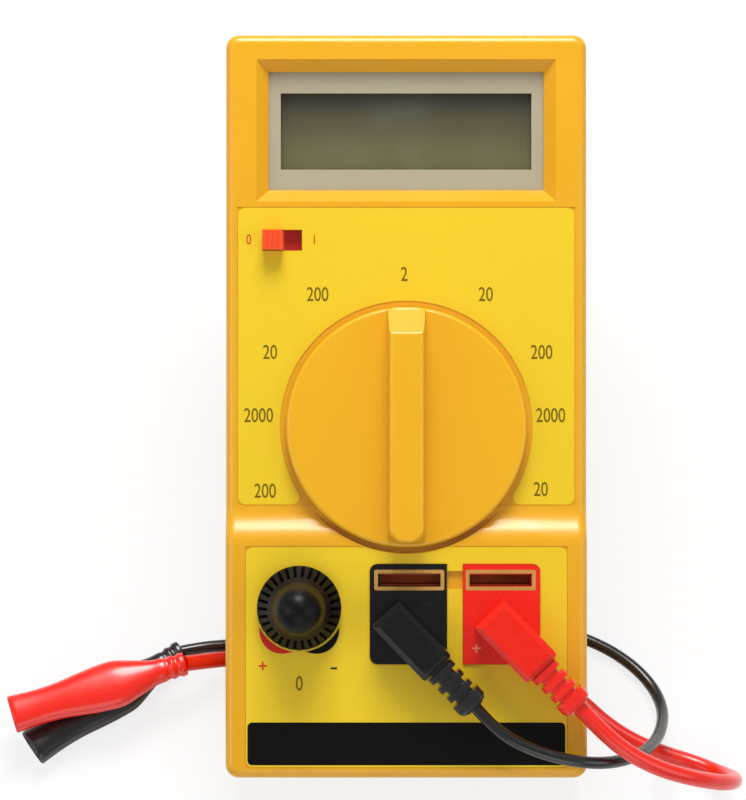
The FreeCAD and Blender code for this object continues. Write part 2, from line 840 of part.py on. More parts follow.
def battery_wires():
    """Two wires from the snap's outer face, bent up inside the box to the underside of the board."""
    face = size("battery_x") + size("battery_length") / 2 + 0.1 + size("snap_thick")
    level = size("battery_base") + size("battery_thick") / 2
    bend = face + 1.6
    wires = []
    for side in (-1, 1):
        y = size("battery_y") + side * size("stud_pitch") / 2
        route = [(face, y, level), (bend, y, level), (bend, y, size("board_base"))]
        wires.append(tube(route, size("wire_radius"), "battery wire"))
    publish(shape_object(Part.makeCompound(wires)), "battery_wires")


# ---------------------------------------------------------------- display


def display():
    bezel_low, bezel_high = around_display("opening", "bezel_margin")
    top = "(upper_face - recess_depth - running_clearance)"
    bezel = box((*bezel_low, f"{top} - bezel_thick"), (*bezel_high, top))
    low, high = around_display("window", "0")
    window = box((*low, f"{top} - bezel_thick - 1"), (*high, f"{top} + 1"))
    publish(cut(bezel, window), "display_bezel")
    pane_low, pane_high = around_display("window", "pane_margin")
    pane_top = f"({top} - bezel_thick)"
    glass_top = f"({pane_top} - pane_thick)"
    glass_low_level = f"({glass_top} - glass_thick)"
    publish(box((*pane_low, glass_top), (*pane_high, pane_top)), "display_window")
    publish(box((*pane_low, glass_low_level), (*pane_high, glass_top)), "lcd_glass")
    board_top = "board_base + board_thick"
    frame_low, frame_high = around_display("window", "pane_margin + frame_margin")
    room_low, room_high = around_display("window", "pane_margin + running_clearance")
    shelf_low, shelf_high = around_display("window", "-1")
    frame = cut(
        box((*frame_low, board_top), (*frame_high, pane_top)),
        box((*room_low, glass_low_level), (*room_high, f"{pane_top} + 1")),
        box((*shelf_low, f"{board_top} - 1"), (*shelf_high, f"{pane_top} + 1")),
    )
    publish(frame, "lcd_frame")
    strips = []
    for side in (-1, 1):
        y = f"display_y + {side} * (window_height / 2 - 1 - zebra_width)"
        low = ("-window_width / 2 + 2", f"{y} - zebra_width / 2", board_top)
        strips.append(box(low, ("window_width / 2 - 2", f"{y} + zebra_width / 2", glass_low_level)))
    publish(group(*strips), "zebra_strips")


def around_display(frame, margin):
    """The corners of the display's opening or window, grown by a margin."""
    half_wide, half_high = f"({frame}_width / 2 + {margin})", f"({frame}_height / 2 + {margin})"
    return (f"-{half_wide}", f"display_y - {half_high}"), (half_wide, f"display_y + {half_high}")


# ---------------------------------------------------------------- labels


def upper_label():
    label = Solid("upper_label")
    low = ("-upper_label_width / 2", "upper_label_low")
    level = "upper_face - label_sink"
    label.pad(label.rectangle(low, ("upper_label_width / 2", "upper_label_high"), level), "label_thick")
    label.pocket(label.circles([("0", "knob_y")], f"{KNOB_WELL} + 0.2", "upper_face + 1"), "2")
    low, high = switch_slot()
    label.pocket(label.rectangle(low, high, "upper_face + 1"), "2")
    label.soften("label_corner", lambda edge: label_corner(edge, "upper_label_width"))
    publish(label.body, "upper_label")


def label_corner(edge, width):
    """An upright edge at a label's outer corners or where its foot meets the knob's ring."""
    centre = edge.BoundBox.Center
    outer = abs(abs(centre.x) - size(width) / 2) < 0.01
    foot = abs(centre.y - size("upper_label_low")) < 0.01
    return runs_along(edge, Z_AXIS) and (outer or foot)


def lower_label():
    label = Solid("lower_label")
    low = ("-lower_label_width / 2", "lower_label_low")
    high = ("lower_label_width / 2", "lower_label_high")
    label.pad(label.rectangle(low, high, "lower_face - label_sink"), "label_thick")
    above = "lower_face + 1"
    label.pocket(label.circles([("0", "knob_y")], f"{KNOB_WELL} + 0.2", above), "2")
    label.pocket(label.circles([("zero_x", "zero_y")], "bushing_radius + seat_clearance", above), "2")
    for side in ("black", "red"):
        low, high = block_outline(side, "seat_clearance")
        label.pocket(label.rectangle(low, high, above), "2")
    label.soften("block_corner", lambda edge: opening_corner(edge, "seat_clearance"))
    low = ("black_block_x", "slot_y - slot_width / 2 - 0.7")
    high = ("red_block_x", "slot_y + slot_width / 2 + 0.7")
    label.pocket(label.rectangle(low, high, above), "2")
    label.soften("label_corner", lambda edge: label_corner(edge, "lower_label_width"))
    publish(label.body, "lower_label")


# ---------------------------------------------------------------- selector


def selector_knob():
    knob = Solid("selector_knob")
    under = "upper_face + knob_lift"
    top = f"{under} + disc_thick"
    rotor_top = "rotor_base + rotor_thick"
    knob.pad(knob.circles([("0", "knob_y")], "knob_radius", under), "disc_thick")
    knob.soften("disc_round", lambda edge: at_level(edge, grip_top() - size("grip_height")))
    low = ("-grip_width / 2", "knob_y - grip_low")
    high = ("grip_width / 2", "knob_y + grip_high")
    grip = knob.pad(knob.rectangle(low, high, f"{top} - 0.5"), "grip_height + 0.5")
    grip.setExpression("TaperAngle", formula("-grip_draft"))
    crest = f"({top} + grip_height)"
    toe_y = "knob_y + grip_high + 1"
    facet = [
        (f"{toe_y} - pointer_length", f"{crest} + 1"),
        (toe_y, f"{crest} + 1"),
        (toe_y, f"{top} + pointer_toe"),
    ]
    knob.pocket(knob.polygon(facet, "YZ_Plane"), "4 * grip_width", both_ways=True)
    knob.soften("grip_width * 0.36", grip_end)
    knob.soften("disc_round", lambda edge: at_level(edge, grip_top()))
    knob.pad(knob.circles([("0", "knob_y")], "hub_radius", rotor_top), f"{under} - ({rotor_top}) + 0.1")
    low = ("-key_width / 2", "knob_y - key_width / 2")
    high = ("key_width / 2", "knob_y + key_width / 2")
    knob.pad(knob.rectangle(low, high, f"{rotor_top} - key_depth"), "key_depth + 0.1")
    publish(knob.body, "selector_knob")


def grip_top():
    return size("upper_face") + size("knob_lift") + size("disc_thick") + size("grip_height")


def grip_end(edge):
    """A drafted upright edge at the lower end of the grip bar."""
    bounds = edge.BoundBox
    above = bounds.ZMax > grip_top() - 0.01 and bounds.ZLength > size("grip_height") / 2
    return above and bounds.Center.y < size("knob_y")


def selector_rotor():
    centre = ("0", "knob_y")
    disc = rod("rotor_radius", (*centre, "rotor_base"), "rotor_thick")
    pilot_low = "(board_base - 2 * clip_thick)"
    pilot = rod("pilot_radius", (*centre, pilot_low), f"rotor_base - {pilot_low}")
    half = "(key_width / 2 + running_clearance)"
    key_low = "rotor_base + rotor_thick - key_depth - running_clearance"
    key_room = box(
        (f"-{half}", f"knob_y - {half}", key_low),
        (half, f"knob_y + {half}", "rotor_base + rotor_thick + 1"),
    )
    notches = []
    for step in range(DETENTS):
        turn = f"{360 / DETENTS} * {step}"
        reach = "(rotor_radius + notch_radius * 0.55)"
        place = (f"{reach} * sin({turn})", f"knob_y + {reach} * cos({turn})", "rotor_base - 1")
        notches.append(rod("notch_radius", place, "rotor_thick + 2"))
    publish(cut(fuse(disc, pilot), key_room, *notches), "selector_rotor")
    ring = rod("clip_radius", (*centre, "board_base - clip_thick - 0.2"), "clip_thick")
    bore = rod("pilot_radius + 0.01", (*centre, "board_base - 2 * clip_thick - 1"), "3")
    gap = box(("-0.8", "knob_y - clip_radius - 1", "board_base - 3"), ("0.8", "knob_y", "board_base"))
    publish(cut(ring, bore, gap), "rotor_clip")


def wiper_contacts():
    """Three sprung fingers under the rotor, each a leaf with a rounded contact just above the board."""
    fingers = []
    touch = "(board_base + board_thick + 0.3)"
    for radius in ("rotor_radius * 0.42", "rotor_radius * 0.62", "rotor_radius * 0.82"):
        y = f"knob_y - {radius}"
        low = ("-3.2", f"{y} - wiper_width / 2", "rotor_base - 0.35")
        leaf = box(low, ("3.2", f"{y} + wiper_width / 2", "rotor_base"))
        bump = rod("0.6", ("2.4", y, touch), f"rotor_base - 0.1 - {touch}")
        fingers.append(fuse(leaf, bump))
    publish(group(*fingers), "wiper_contacts")


def detent_spring():
    """A leaf held on two posts of the board, with a rounded nose in the rotor's top notch."""
    reach = "(knob_y + rotor_radius + notch_radius * 0.55 + 0.2)"
    leaf_low = f"({reach} + 0.2)"
    board_top = "board_base + board_thick"
    leaf_top = "rotor_base + rotor_thick"
    leaf = box(("-8", leaf_low, "rotor_base"), ("8", f"{leaf_low} + spring_thick", leaf_top))
    nose = rod("spring_nose_radius", ("0", reach, "rotor_base"), "rotor_thick")
    feet = [(x, f"{leaf_low} + spring_thick / 2", board_top) for x in ("-8", "8")]
    posts = [rod("0.9", foot, f"{leaf_top} - ({board_top})") for foot in feet]
    publish(fuse(leaf, nose, *posts), "detent_spring")


# ---------------------------------------------------------------- zero adjuster


def zero_adjuster():
    spot = ("zero_x", "zero_y")
    board_top = "(board_base + board_thick)"
    pot_top = f"({board_top} + pot_height)"
    bush_top = "(lower_face + bushing_stand)"
    can = rod("pot_radius", (*spot, board_top), "pot_height")
    bush = rod("bushing_radius", (*spot, pot_top), f"{bush_top} - {pot_top}")
    bore = rod("shaft_radius + running_clearance", (*spot, f"{board_top} + 1.5"), "pot_height + 30")
    publish(cut(fuse(can, bush), bore), "potentiometer")
    nut_low = "(lower_face + face_clearance)"
    nut = hexagon("nut_flats", (*spot, nut_low), "nut_thick")
    publish(cut(nut, rod("bushing_radius", (*spot, "lower_face - 1"), "nut_thick + 3")), "pot_nut")
    shaft = rod("shaft_radius", (*spot, f"{board_top} + 2"), f"shaft_top - {board_top} - 2")
    slit_low = ("zero_x - shaft_radius - 1", "zero_y - 0.5", "shaft_top - 5")
    slit_high = ("zero_x + shaft_radius + 1", "zero_y + 0.5", "shaft_top + 1")
    publish(cut(shaft, box(slit_low, slit_high)), "pot_shaft")
    publish(zero_knob(spot), "zero_knob")


def zero_knob(spot):
    """A fluted skirt that narrows to a ball top, hollow underneath for the nut."""
    under = "(lower_face + zero_lift)"
    skirt_top = f"({under} + zero_skirt_height)"
    skirt = rod("zero_skirt_radius", (*spot, under), "zero_skirt_height")
    shoulder = taper("zero_skirt_radius", "zero_neck_radius", (*spot, skirt_top), "zero_neck_rise")
    neck_top = f"({skirt_top} + zero_neck_rise)"
    ball_centre = "(zero_top - zero_dome_radius)"
    neck = taper("zero_neck_radius", "zero_dome_radius", (*spot, neck_top), f"{ball_centre} - {neck_top}")
    ball = bind(doc.addObject("Part::Sphere", "ball"), Radius="zero_dome_radius")
    put(ball, (*spot, ball_centre))
    room = rod("nut_flats / sqrt(3) + 0.6", (*spot, f"{under} - 1"), "1 + bushing_stand")
    bore = rod("shaft_radius + running_clearance / 2", (*spot, under), f"shaft_top + 0.1 - {under}")
    flutes = []
    for step in range(FLUTES):
        turn = 360 / FLUTES * step
        flute = box(("0", "0", "0"), ("flute_depth + 2", "flute_width", "zero_neck_rise + 2"))
        radius = "(zero_skirt_radius - flute_depth)"
        side = "(flute_width / 2)"
        place = (
            f"zero_x + {radius} * cos({turn}) + {side} * sin({turn})",
            f"zero_y + {radius} * sin({turn}) - {side} * cos({turn})",
            f"{under} + zero_skirt_height / 3",
        )
        flutes.append(put(flute, place, Z_AXIS, turn))
    return cut(fuse(skirt, shoulder, neck, ball), room, bore, *flutes)


# ---------------------------------------------------------------- power switch


def power_switch():
    low_wall = "(switch_slot_x - switch_slot_width / 2)"
    shoe_length = "(switch_slot_width + 1.2)"
    shoe_left = f"({low_wall} - 0.6)"
    room_left = f"({shoe_left} - seat_clearance)"
    room_right = f"({shoe_left} + {shoe_length} + switch_travel + seat_clearance)"
    room_half = "(switch_slot_height / 2 + 0.3)"
    top = "(upper_face - wall - 0.2)"
    floor = f"({top} - 5)"
    wall = "switch_frame_wall"
    frame = box(
        (f"{room_left} - {wall}", f"switch_y - {room_half} - {wall}", "board_base + board_thick"),
        (f"{room_right} + {wall}", f"switch_y + {room_half} + {wall}", top),
    )
    room_low = (room_left, f"switch_y - {room_half}", floor)
    room = box(room_low, (room_right, f"switch_y + {room_half}", f"{top} + 1"))
    publish(cut(frame, room), "switch_frame")
    shoe = box(
        (shoe_left, f"switch_y - {room_half} + seat_clearance", f"{floor} + seat_clearance"),
        (f"{shoe_left} + {shoe_length}", f"switch_y + {room_half} - seat_clearance", f"{top} - 0.2"),
    )
    cap_left = f"({low_wall} + seat_clearance)"
    cap_right = f"({cap_left} + switch_slot_width - switch_travel - 2 * seat_clearance)"
    cap = box(
        (cap_left, "switch_y - switch_slot_height / 2 + seat_clearance", f"{top} - 1"),
        (cap_right, "switch_y + switch_slot_height / 2 - seat_clearance", "upper_face + switch_cap_height"),
    )
    cap_top = "(upper_face + switch_cap_height)"
    grooves = []
    for share in (0.25, 0.5, 0.75):
        middle = f"({cap_left} + {share} * ({cap_right} - {cap_left}))"
        low = (f"{middle} - 0.3", "switch_y - switch_slot_height", f"{cap_top} - 0.4")
        grooves.append(box(low, (f"{middle} + 0.3", "switch_y + switch_slot_height", f"{cap_top} + 1")))
    publish(cut(fuse(shoe, cap), *grooves), "switch_slider")


# ---------------------------------------------------------------- terminals


def terminal_block(side, outer):
    """One moulded terminal block with its hidden flange, jack hole and component slot."""
    block = Solid(f"{side}_terminal_block")
    low, high = block_outline(side, "0")
    block.pad(block.rectangle(low, high, "block_base"), "lower_face + block_proud - block_base")
    centre = size(f"{side}_block_x")
    edge_x = centre + outer * size("block_width") / 2

    def outer_edge(edge):
        return runs_along(edge, Z_AXIS) and abs(edge.BoundBox.Center.x - edge_x) < 0.01

    block.soften("block_corner", outer_edge)
    low, high = block_outline(side, "flange_margin")
    if outer < 0:
        high = (f"{high[0]} - flange_margin + 0.4", high[1])
    else:
        low = (f"{low[0]} + flange_margin - 0.4", low[1])
    block.pad(block.rectangle(low, high, "upper_face - wall - 0.1 - flange_thick"), "flange_thick")
    above = "lower_face + 2"
    block.pocket(block.circles([(f"{side}_jack_x", "jack_y")], "jack_radius + 0.05", above), "20")
    low, high = component_slot(side, outer)
    block.pocket(block.rectangle(low, high, above), f"{above} - slot_floor")
    publish(block.body, f"{side}_terminal_block")


def component_slot(side, outer):
    """A slot from the block's outer end wall to its inner face, where it runs out."""
    low_y, high_y = "slot_y - slot_width / 2", "slot_y + slot_width / 2"
    near, far = f"{side}_block_x - block_width / 2", f"{side}_block_x + block_width / 2"
    if outer < 0:
        return (f"{near} + slot_end_wall", low_y), (f"{far} - slot_end_wall / 2", high_y)
    return (f"{near} + slot_end_wall / 2", low_y), (f"{far} - slot_end_wall", high_y)


def terminals():
    terminal_block("black", -1)
    terminal_block("red", 1)
    jacks, nuts, contacts = [], [], []
    for side, outer in (("black", -1), ("red", 1)):
        spot = (f"{side}_jack_x", "jack_y")
        barrel = rod("jack_radius", (*spot, "jack_base"), "lower_face - jack_base")
        jacks.append(cut(barrel, rod("jack_bore", (*spot, "jack_base + 1"), "lower_face")))
        nut = hexagon("jack_radius * 2 + 2.4", (*spot, "block_base - 2"), "1.95")
        nuts.append(cut(nut, rod("jack_radius + 0.02", (*spot, "block_base - 3"), "5")))
        contacts.append(slot_contact(*component_slot(side, outer)))
    publish(group(*jacks), "banana_jacks")
    publish(group(*nuts), "jack_nuts")
    publish(group(*contacts), "slot_contacts")


def slot_contact(low, high):
    """A folded strip that lines a component slot, open at the top."""
    (left, low_y), (right, high_y) = low, high
    gap = "0.08"
    low = (f"{left} + 0.4", f"{low_y} + {gap}", "slot_floor + face_clearance")
    outside = box(low, (f"{right} - 0.4", f"{high_y} - {gap}", "contact_top"))
    inside = box(
        (left, f"{low_y} + {gap} + contact_thick", "slot_floor + contact_thick"),
        (right, f"{high_y} - {gap} - contact_thick", "contact_top + 1"),
    )
    return cut(outside, inside)


# ---------------------------------------------------------------- circuit board


def circuit_board():
    board = Solid("circuit_board")
    low, high = ("-board_width / 2", "board_low"), ("board_width / 2", "board_high")
    board.pad(board.rectangle(low, high, "board_base"), "board_thick")
    above = "board_base + board_thick + 1"
    jacks = [("black_jack_x", "jack_y"), ("red_jack_x", "jack_y")]
    for centres, radius in (
        ([("0", "knob_y")], "pilot_radius + running_clearance"),
        (jacks, "jack_radius + seat_clearance"),
        (post_places(), "board_screw_radius + seat_clearance"),
    ):
        board.pocket(board.circles(centres, radius, above), "board_thick + 2")
    publish(board.body, "circuit_board")


BOARD_TOP = "(board_base + board_thick)"


def chip(x, y, length, width, pins):
    """A moulded dual-in-line chip with its length along x, and its rows of legs."""
    low = (f"{x} - {length / 2}", f"{y} - {width / 2}", f"{BOARD_TOP} + 0.6")
    body = box(low, (f"{x} + {length / 2}", f"{y} + {width / 2}", f"{BOARD_TOP} + 4"))
    legs = []
    for index in range(pins // 2):
        leg_x = (index - (pins / 2 - 1) / 2) * 2.54
        for side in (-1, 1):
            leg_y = side * (width / 2 + 0.3)
            low = (f"{x} + {leg_x} - 0.4", f"{y} + {leg_y} - 0.3", BOARD_TOP)
            legs.append(box(low, (f"{x} + {leg_x} + 0.4", f"{y} + {leg_y} + 0.3", f"{BOARD_TOP} + 2.4")))
    return fuse(body, *legs)


def upright_box(x, y, wide, deep, tall):
    low = (f"{x} - {wide / 2}", f"{y} - {deep / 2}", BOARD_TOP)
    return box(low, (f"{x} + {wide / 2}", f"{y} + {deep / 2}", f"{BOARD_TOP} + {tall}"))


def resistor(x, y):
    level = f"{BOARD_TOP} + 1.5"
    body = rod("1.1", (f"{x} - 3", y, level), "6", Y_AXIS, 90)
    wire = rod("0.3", (f"{x} - 5", y, level), "10", Y_AXIS, 90)
    legs = [rod("0.3", (f"{x} + {side} * 4.7", y, BOARD_TOP), "1.5") for side in (-1, 1)]
    return fuse(body, wire, *legs)


def components():
    publish(chip("0", "post_high_y - 3", 51.0, 13.4, 40), "adc_chip")
    chips = [chip(x, "knob_y - 26.5", 9.6, 6.4, 8) for x in ("-27", "27")]
    publish(group(*chips), "op_amp_chips")
    capacitors = [upright_box("-27", f"knob_y - 16 + {step * 7}", 7.2, 4.4, 6.2) for step in range(5)]
    publish(group(*capacitors), "film_capacitors")
    trimmers = []
    for step in range(3):
        y = f"knob_y - 13 + {step * 9}"
        case = upright_box("27", y, 6.6, 6.6, 4.4)
        slit = box(("24.8", f"{y} - 0.4", f"{BOARD_TOP} + 3.6"), ("29.2", f"{y} + 0.4", f"{BOARD_TOP} + 6"))
        trimmers.append(cut(case, slit))
    publish(group(*trimmers), "trimmers")
    cans = [rod("2.5", (x, "knob_y + 18", BOARD_TOP), "6.6") for x in ("24.2", "30.2")]
    publish(group(*cans), "electrolytic_capacitors")
    resistors = [resistor(x, f"knob_y - {drop}") for x in ("-8", "8") for drop in (29.2, 25.6, 22.0)]
    publish(group(*resistors), "resistors")
    fuse_holder()


def fuse_holder():
    y, level = "switch_y - 1.5", f"({BOARD_TOP} + 3.4)"
    publish(rod("2.5", ("2", y, level), "20", Y_AXIS, 90), "glass_fuse")
    clips = []
    for left in (3.4, 17.6):
        low = (f"{left}", f"{y} - 3.1", BOARD_TOP)
        outside = box(low, (f"{left} + 3", f"{y} + 3.1", f"{level} + 1.6"))
        room = rod("2.52", (f"{left} - 1", y, level), "5", Y_AXIS, 90)
        mouth = box((f"{left} - 1", f"{y} - 2", level), (f"{left} + 4", f"{y} + 2", f"{level} + 3"))
        clips.append(cut(outside, room, mouth))
    publish(group(*clips), "fuse_clips")


# ---------------------------------------------------------------- plugs


def plug_frame(items, side):
    """Plug pieces drawn about their pin, with x towards the cable, turned to their place in the case."""
    turned = group(*items)
    seat = (f"{side}_jack_x", "jack_y", "lower_face + block_proud + seat_clearance")
    return put(turned, seat, Z_AXIS, "plug_angle")


def plugs():
    pins = []
    for side in ("black", "red"):
        body = Solid(f"{side}_plug_shell")
        half = f"{side}_plug_width / 2"
        low, high = ("-plug_back", f"-{half}"), ("plug_length - plug_back", half)
        body.pad(body.rectangle(low, high), "plug_thick")
        body.soften("plug_bevel", lambda edge: at_level(edge, size("plug_thick")), "PartDesign::Chamfer")
        body.soften("plug_bevel / 2", lambda edge: runs_along(edge, Z_AXIS))
        body.pocket(body.circles([("0", "0")], "plug_pin_radius", "plug_thick / 2"), "plug_thick")
        publish(group(plug_frame([body.body], side)), f"{side}_plug_body")
        pin_low = ("0", "0", "plug_thick / 2 - plug_pin_length - 5")
        pins.append(plug_frame([rod("plug_pin_radius", pin_low, "plug_pin_length + 5")], side))
        publish(group(plug_frame([strain_relief()], side)), f"{side}_strain_relief")
    publish(group(*pins), "plug_pins")


def strain_relief():
    """A flexible sleeve of ribs on a core, with a collar near the cable's exit."""
    start, middle = "(plug_length - plug_back)", "plug_thick / 2"
    pieces = [rod("relief_core", (start, "0", middle), "relief_length", Y_AXIS, 90)]
    for share in (0.04, 0.27, 0.5):
        place = (f"{start} + relief_length * {share}", "0", middle)
        pieces.append(rod("relief_rib", place, "relief_length * 0.12", Y_AXIS, 90))
    collar = f"{start} + relief_length * 0.7"
    pieces.append(rod("relief_collar", (collar, "0", middle), "relief_length * 0.2", Y_AXIS, 90))
    return fuse(*pieces)


# ---------------------------------------------------------------- leads


def tube(route, radius, name):
    """A round tube along straight runs joined by tangent arcs as large as the runs allow."""
    points = [FreeCAD.Vector(*point) for point in route]
    edges, start, smallest = [], points[0], None
    for before, corner, after in zip(points, points[1:], points[2:]):
        incoming, outgoing = (corner - before), (after - corner)
        turn = incoming.getAngle(outgoing)
        reach = 0.45 * min(incoming.Length, outgoing.Length)
        bend = reach / math.tan(turn / 2)
        smallest = bend if smallest is None else min(smallest, bend)
        incoming.normalize()
        outgoing.normalize()
        first, last = corner - incoming * reach, corner + outgoing * reach
        inward = (outgoing - incoming).normalize()
        middle = corner + inward * (bend / math.cos(turn / 2) - bend)
        edges.append(Part.LineSegment(start, first).toShape())
        edges.append(Part.Arc(first, middle, last).toShape())
        start = last
    edges.append(Part.LineSegment(start, points[-1]).toShape())
    path = Part.Wire(edges)
    section = Part.Wire(Part.Circle(points[0], points[1] - points[0], radius).toShape())
    solid = path.makePipeShell([section], True, True)
    expected = math.pi * radius * radius * path.Length
    share = solid.Volume / expected
    print(f"{name}: length {path.Length:.1f}, smallest radius {smallest:.1f}, volume ratio {share:.4f}")
    if abs(share - 1) > 0.01:
        raise RuntimeError(f"{name}: the tube's volume is off")
    return solid


def shape_object(shape):
    item = doc.addObject("Part::Feature", "shape")
    item.Shape = shape
    return item


def case_point(x, y, z):
    """A point of the case's frame, in the standing part's frame."""
    tilt = math.radians(size("tilt_angle"))
    round_back, round_front, face = size("back_round"), size("front_round"), size("lower_face")
    rear = (size("case_length") - round_back) * math.cos(tilt) - round_back * math.sin(tilt) + round_back
    front = round_front * math.cos(tilt) - (face - round_front) * math.sin(tilt) - round_front
    lift = -round_back * (math.sin(tilt) + math.cos(tilt) - 1)
    return (
        x,
        y * math.cos(tilt) - z * math.sin(tilt) - (rear + front) / 2,
        y * math.sin(tilt) + z * math.cos(tilt) + lift,
    )


def relief_end(side):
    """Where a lead leaves its strain relief."""
    reach = size("plug_length") - size("plug_back") + size("relief_length")
    turn = math.radians(size("plug_angle"))
    level = size("lower_face") + size("block_proud") + size("seat_clearance") + size("plug_thick") / 2
    x = size(f"{side}_jack_x") + reach * math.cos(turn)
    return case_point(x, size("jack_y") + reach * math.sin(turn), level)


def leads():
    for side, route in LEAD_ROUTES.items():
        whole = [relief_end(side), *route, CLIP_PLACES[side]["neck"]]
        solid = tube(whole, size(f"{side}_lead_diameter") / 2, f"{side} lead")
        lead = shape_object(solid)
        lead.Label = f"{side}_lead"
        published.append(lead)


# ---------------------------------------------------------------- clips


def oval(x, half, side):
    """An upright oval section of a clip's boot, across the clip's x axis."""
    item = doc.addObject("Part::Ellipse", "oval")
    bind(item, MajorRadius=half, MinorRadius=side)
    turned = FreeCAD.Rotation(Y_AXIS, 90).multiply(FreeCAD.Rotation(Z_AXIS, 90))
    item.Placement = FreeCAD.Placement(ORIGIN, turned)
    item.setExpression("Placement.Base.x", formula(x))
    return item


def boot_skin(lead_radius, shrink, end):
    """The boot's outline, shrunk by the wall for its inside: neck, bulge over the handles and open nose."""
    neck = f"({lead_radius} + boot_wall - {shrink})"
    sections = [
        oval("0" if shrink == "0" else "-1", f"{neck} + 0.02", neck),
        oval("boot_neck_length", f"{neck} + 0.02", neck),
        oval("clip_length * 0.38", f"boot_bulge_half - {shrink}", f"boot_bulge_side - {shrink}"),
        oval("clip_length * 0.62", f"boot_bulge_half * 0.93 - {shrink}", f"boot_bulge_side - {shrink}"),
        oval(end, f"boot_nose_half - {shrink}", f"boot_nose_side - {shrink}"),
    ]
    skin = doc.addObject("Part::Loft", "skin")
    skin.Sections = sections
    skin.Solid = True
    return skin


def clip_piece(items, side, label):
    x, y, z = CLIP_PLACES[side]["neck"]
    publish(group(*items), label, (x, y, z), Z_AXIS, CLIP_PLACES[side]["heading"])


def jaw(direction):
    """One jaw of a clip: a toothed nose, a cheek at the pivot and a sprung handle."""
    reach = "jaw_half_width"
    nose = Solid("jaw")
    tip = "clip_length - 2.5"
    start = "jaw_pivot + 5"
    count = 7
    pitch = f"(({tip}) - ({start})) / {count}"
    edge = f"{direction} * jaw_gap"
    points = [(start, edge)]
    for index in range(count):
        points.append((f"{start} + {pitch} * {index + 0.3}", f"{edge} + 0.35 * {direction}"))
        points.append((f"{start} + {pitch} * {index + 0.65}", edge))
    points += [(tip, edge), (tip, f"{direction} * 1.0"), ("clip_length - 12", f"{direction} * 1.8")]
    points += [(start, f"{direction} * 3.2"), ("jaw_pivot + 1", f"{direction} * 3.9")]
    handle = "boot_neck_length + 9"
    points += [(handle, f"{direction} * 2.6"), (handle, f"{direction} * 1.9")]
    points += [("jaw_pivot - 3", f"{direction} * 2.9"), ("jaw_pivot + 2.5", f"{direction} * 2.3")]
    nose.pad(nose.polygon(points, level=f"-{reach}"), f"2 * {reach}")
    return nose.body


def clips():
    pins = []
    for side in CLIP_PLACES:
        lead_radius = f"{side}_lead_diameter / 2"
        inside = boot_skin(lead_radius, "boot_wall", "clip_length + 1")
        boot = cut(boot_skin(lead_radius, "0", "clip_length"), inside)
        clip_piece([boot], side, f"{side}_clip_boot")
        pivot = ("jaw_pivot", "0")
        below = (*pivot, "-jaw_half_width - 1")
        inner = "(jaw_half_width - cheek_thick)"
        cheeks = [
            box(("jaw_pivot - 1.8", "-3.6", low), ("jaw_pivot + 1.8", "1.5", high))
            for low, high in (("-jaw_half_width", f"-{inner}"), (inner, "jaw_half_width"))
        ]
        base = cut(fuse(jaw(-1), *cheeks), rod("jaw_pin_radius", below, "2 * jaw_half_width + 2"))
        clip_piece([base], side, f"{side}_clip_base")
        half = f"({inner} - 0.1)"
        tongue = box(("jaw_pivot - 1.6", "-1.4", f"-{half}"), ("jaw_pivot + 1.6", "3.6", half))
        bore = rod("jaw_pin_radius + running_clearance", below, "2 * jaw_half_width + 2")
        clip_piece([cut(fuse(jaw(1), tongue), bore)], side, f"{side}_clip_jaw")
        neck, heading = CLIP_PLACES[side]["neck"], CLIP_PLACES[side]["heading"]
        pin = group(rod("jaw_pin_radius", (*pivot, "-jaw_half_width"), "2 * jaw_half_width"))
        pins.append(put(pin, neck, Z_AXIS, heading))
    publish(group(*pins), "clip_pins", ("0", "0", "0"), Z_AXIS, "0")


# ---------------------------------------------------------------- check and write


def check_document():
    doc.recompute()
    for item in doc.Objects:
        if "Invalid" in item.State or "Error" in item.State:
            raise RuntimeError(f"{item.Label}: {item.State}")
    for item in published:
        if item.Shape.isNull() or not item.Shape.isValid() or not item.Shape.Solids:
            raise RuntimeError(f"{item.Label}: its shape is not a valid solid")


def write_parts():
    os.makedirs("parts", exist_ok=True)
    for item in published:
        item.Shape.exportStep(os.path.join("parts", f"{item.Label}.step"))
    print(f"{len(published)} sub-parts written")


def main():
    front_case()
    back_case()
    tilt_stand()
    fasteners()
    battery_door()
    battery()
    battery_wires()
    display()
    upper_label()
    lower_label()
    selector_knob()
    selector_rotor()
    wiper_contacts()
    detent_spring()
    zero_adjuster()
    power_switch()
    terminals()
    circuit_board()
    components()
    plugs()
    leads()
    clips()
    check_document()
    write_parts()


main()
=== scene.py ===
import json
import math

import bmesh
import bpy
from bpy.props import FloatProperty, FloatVectorProperty, PointerProperty
from mathutils import Matrix, Vector


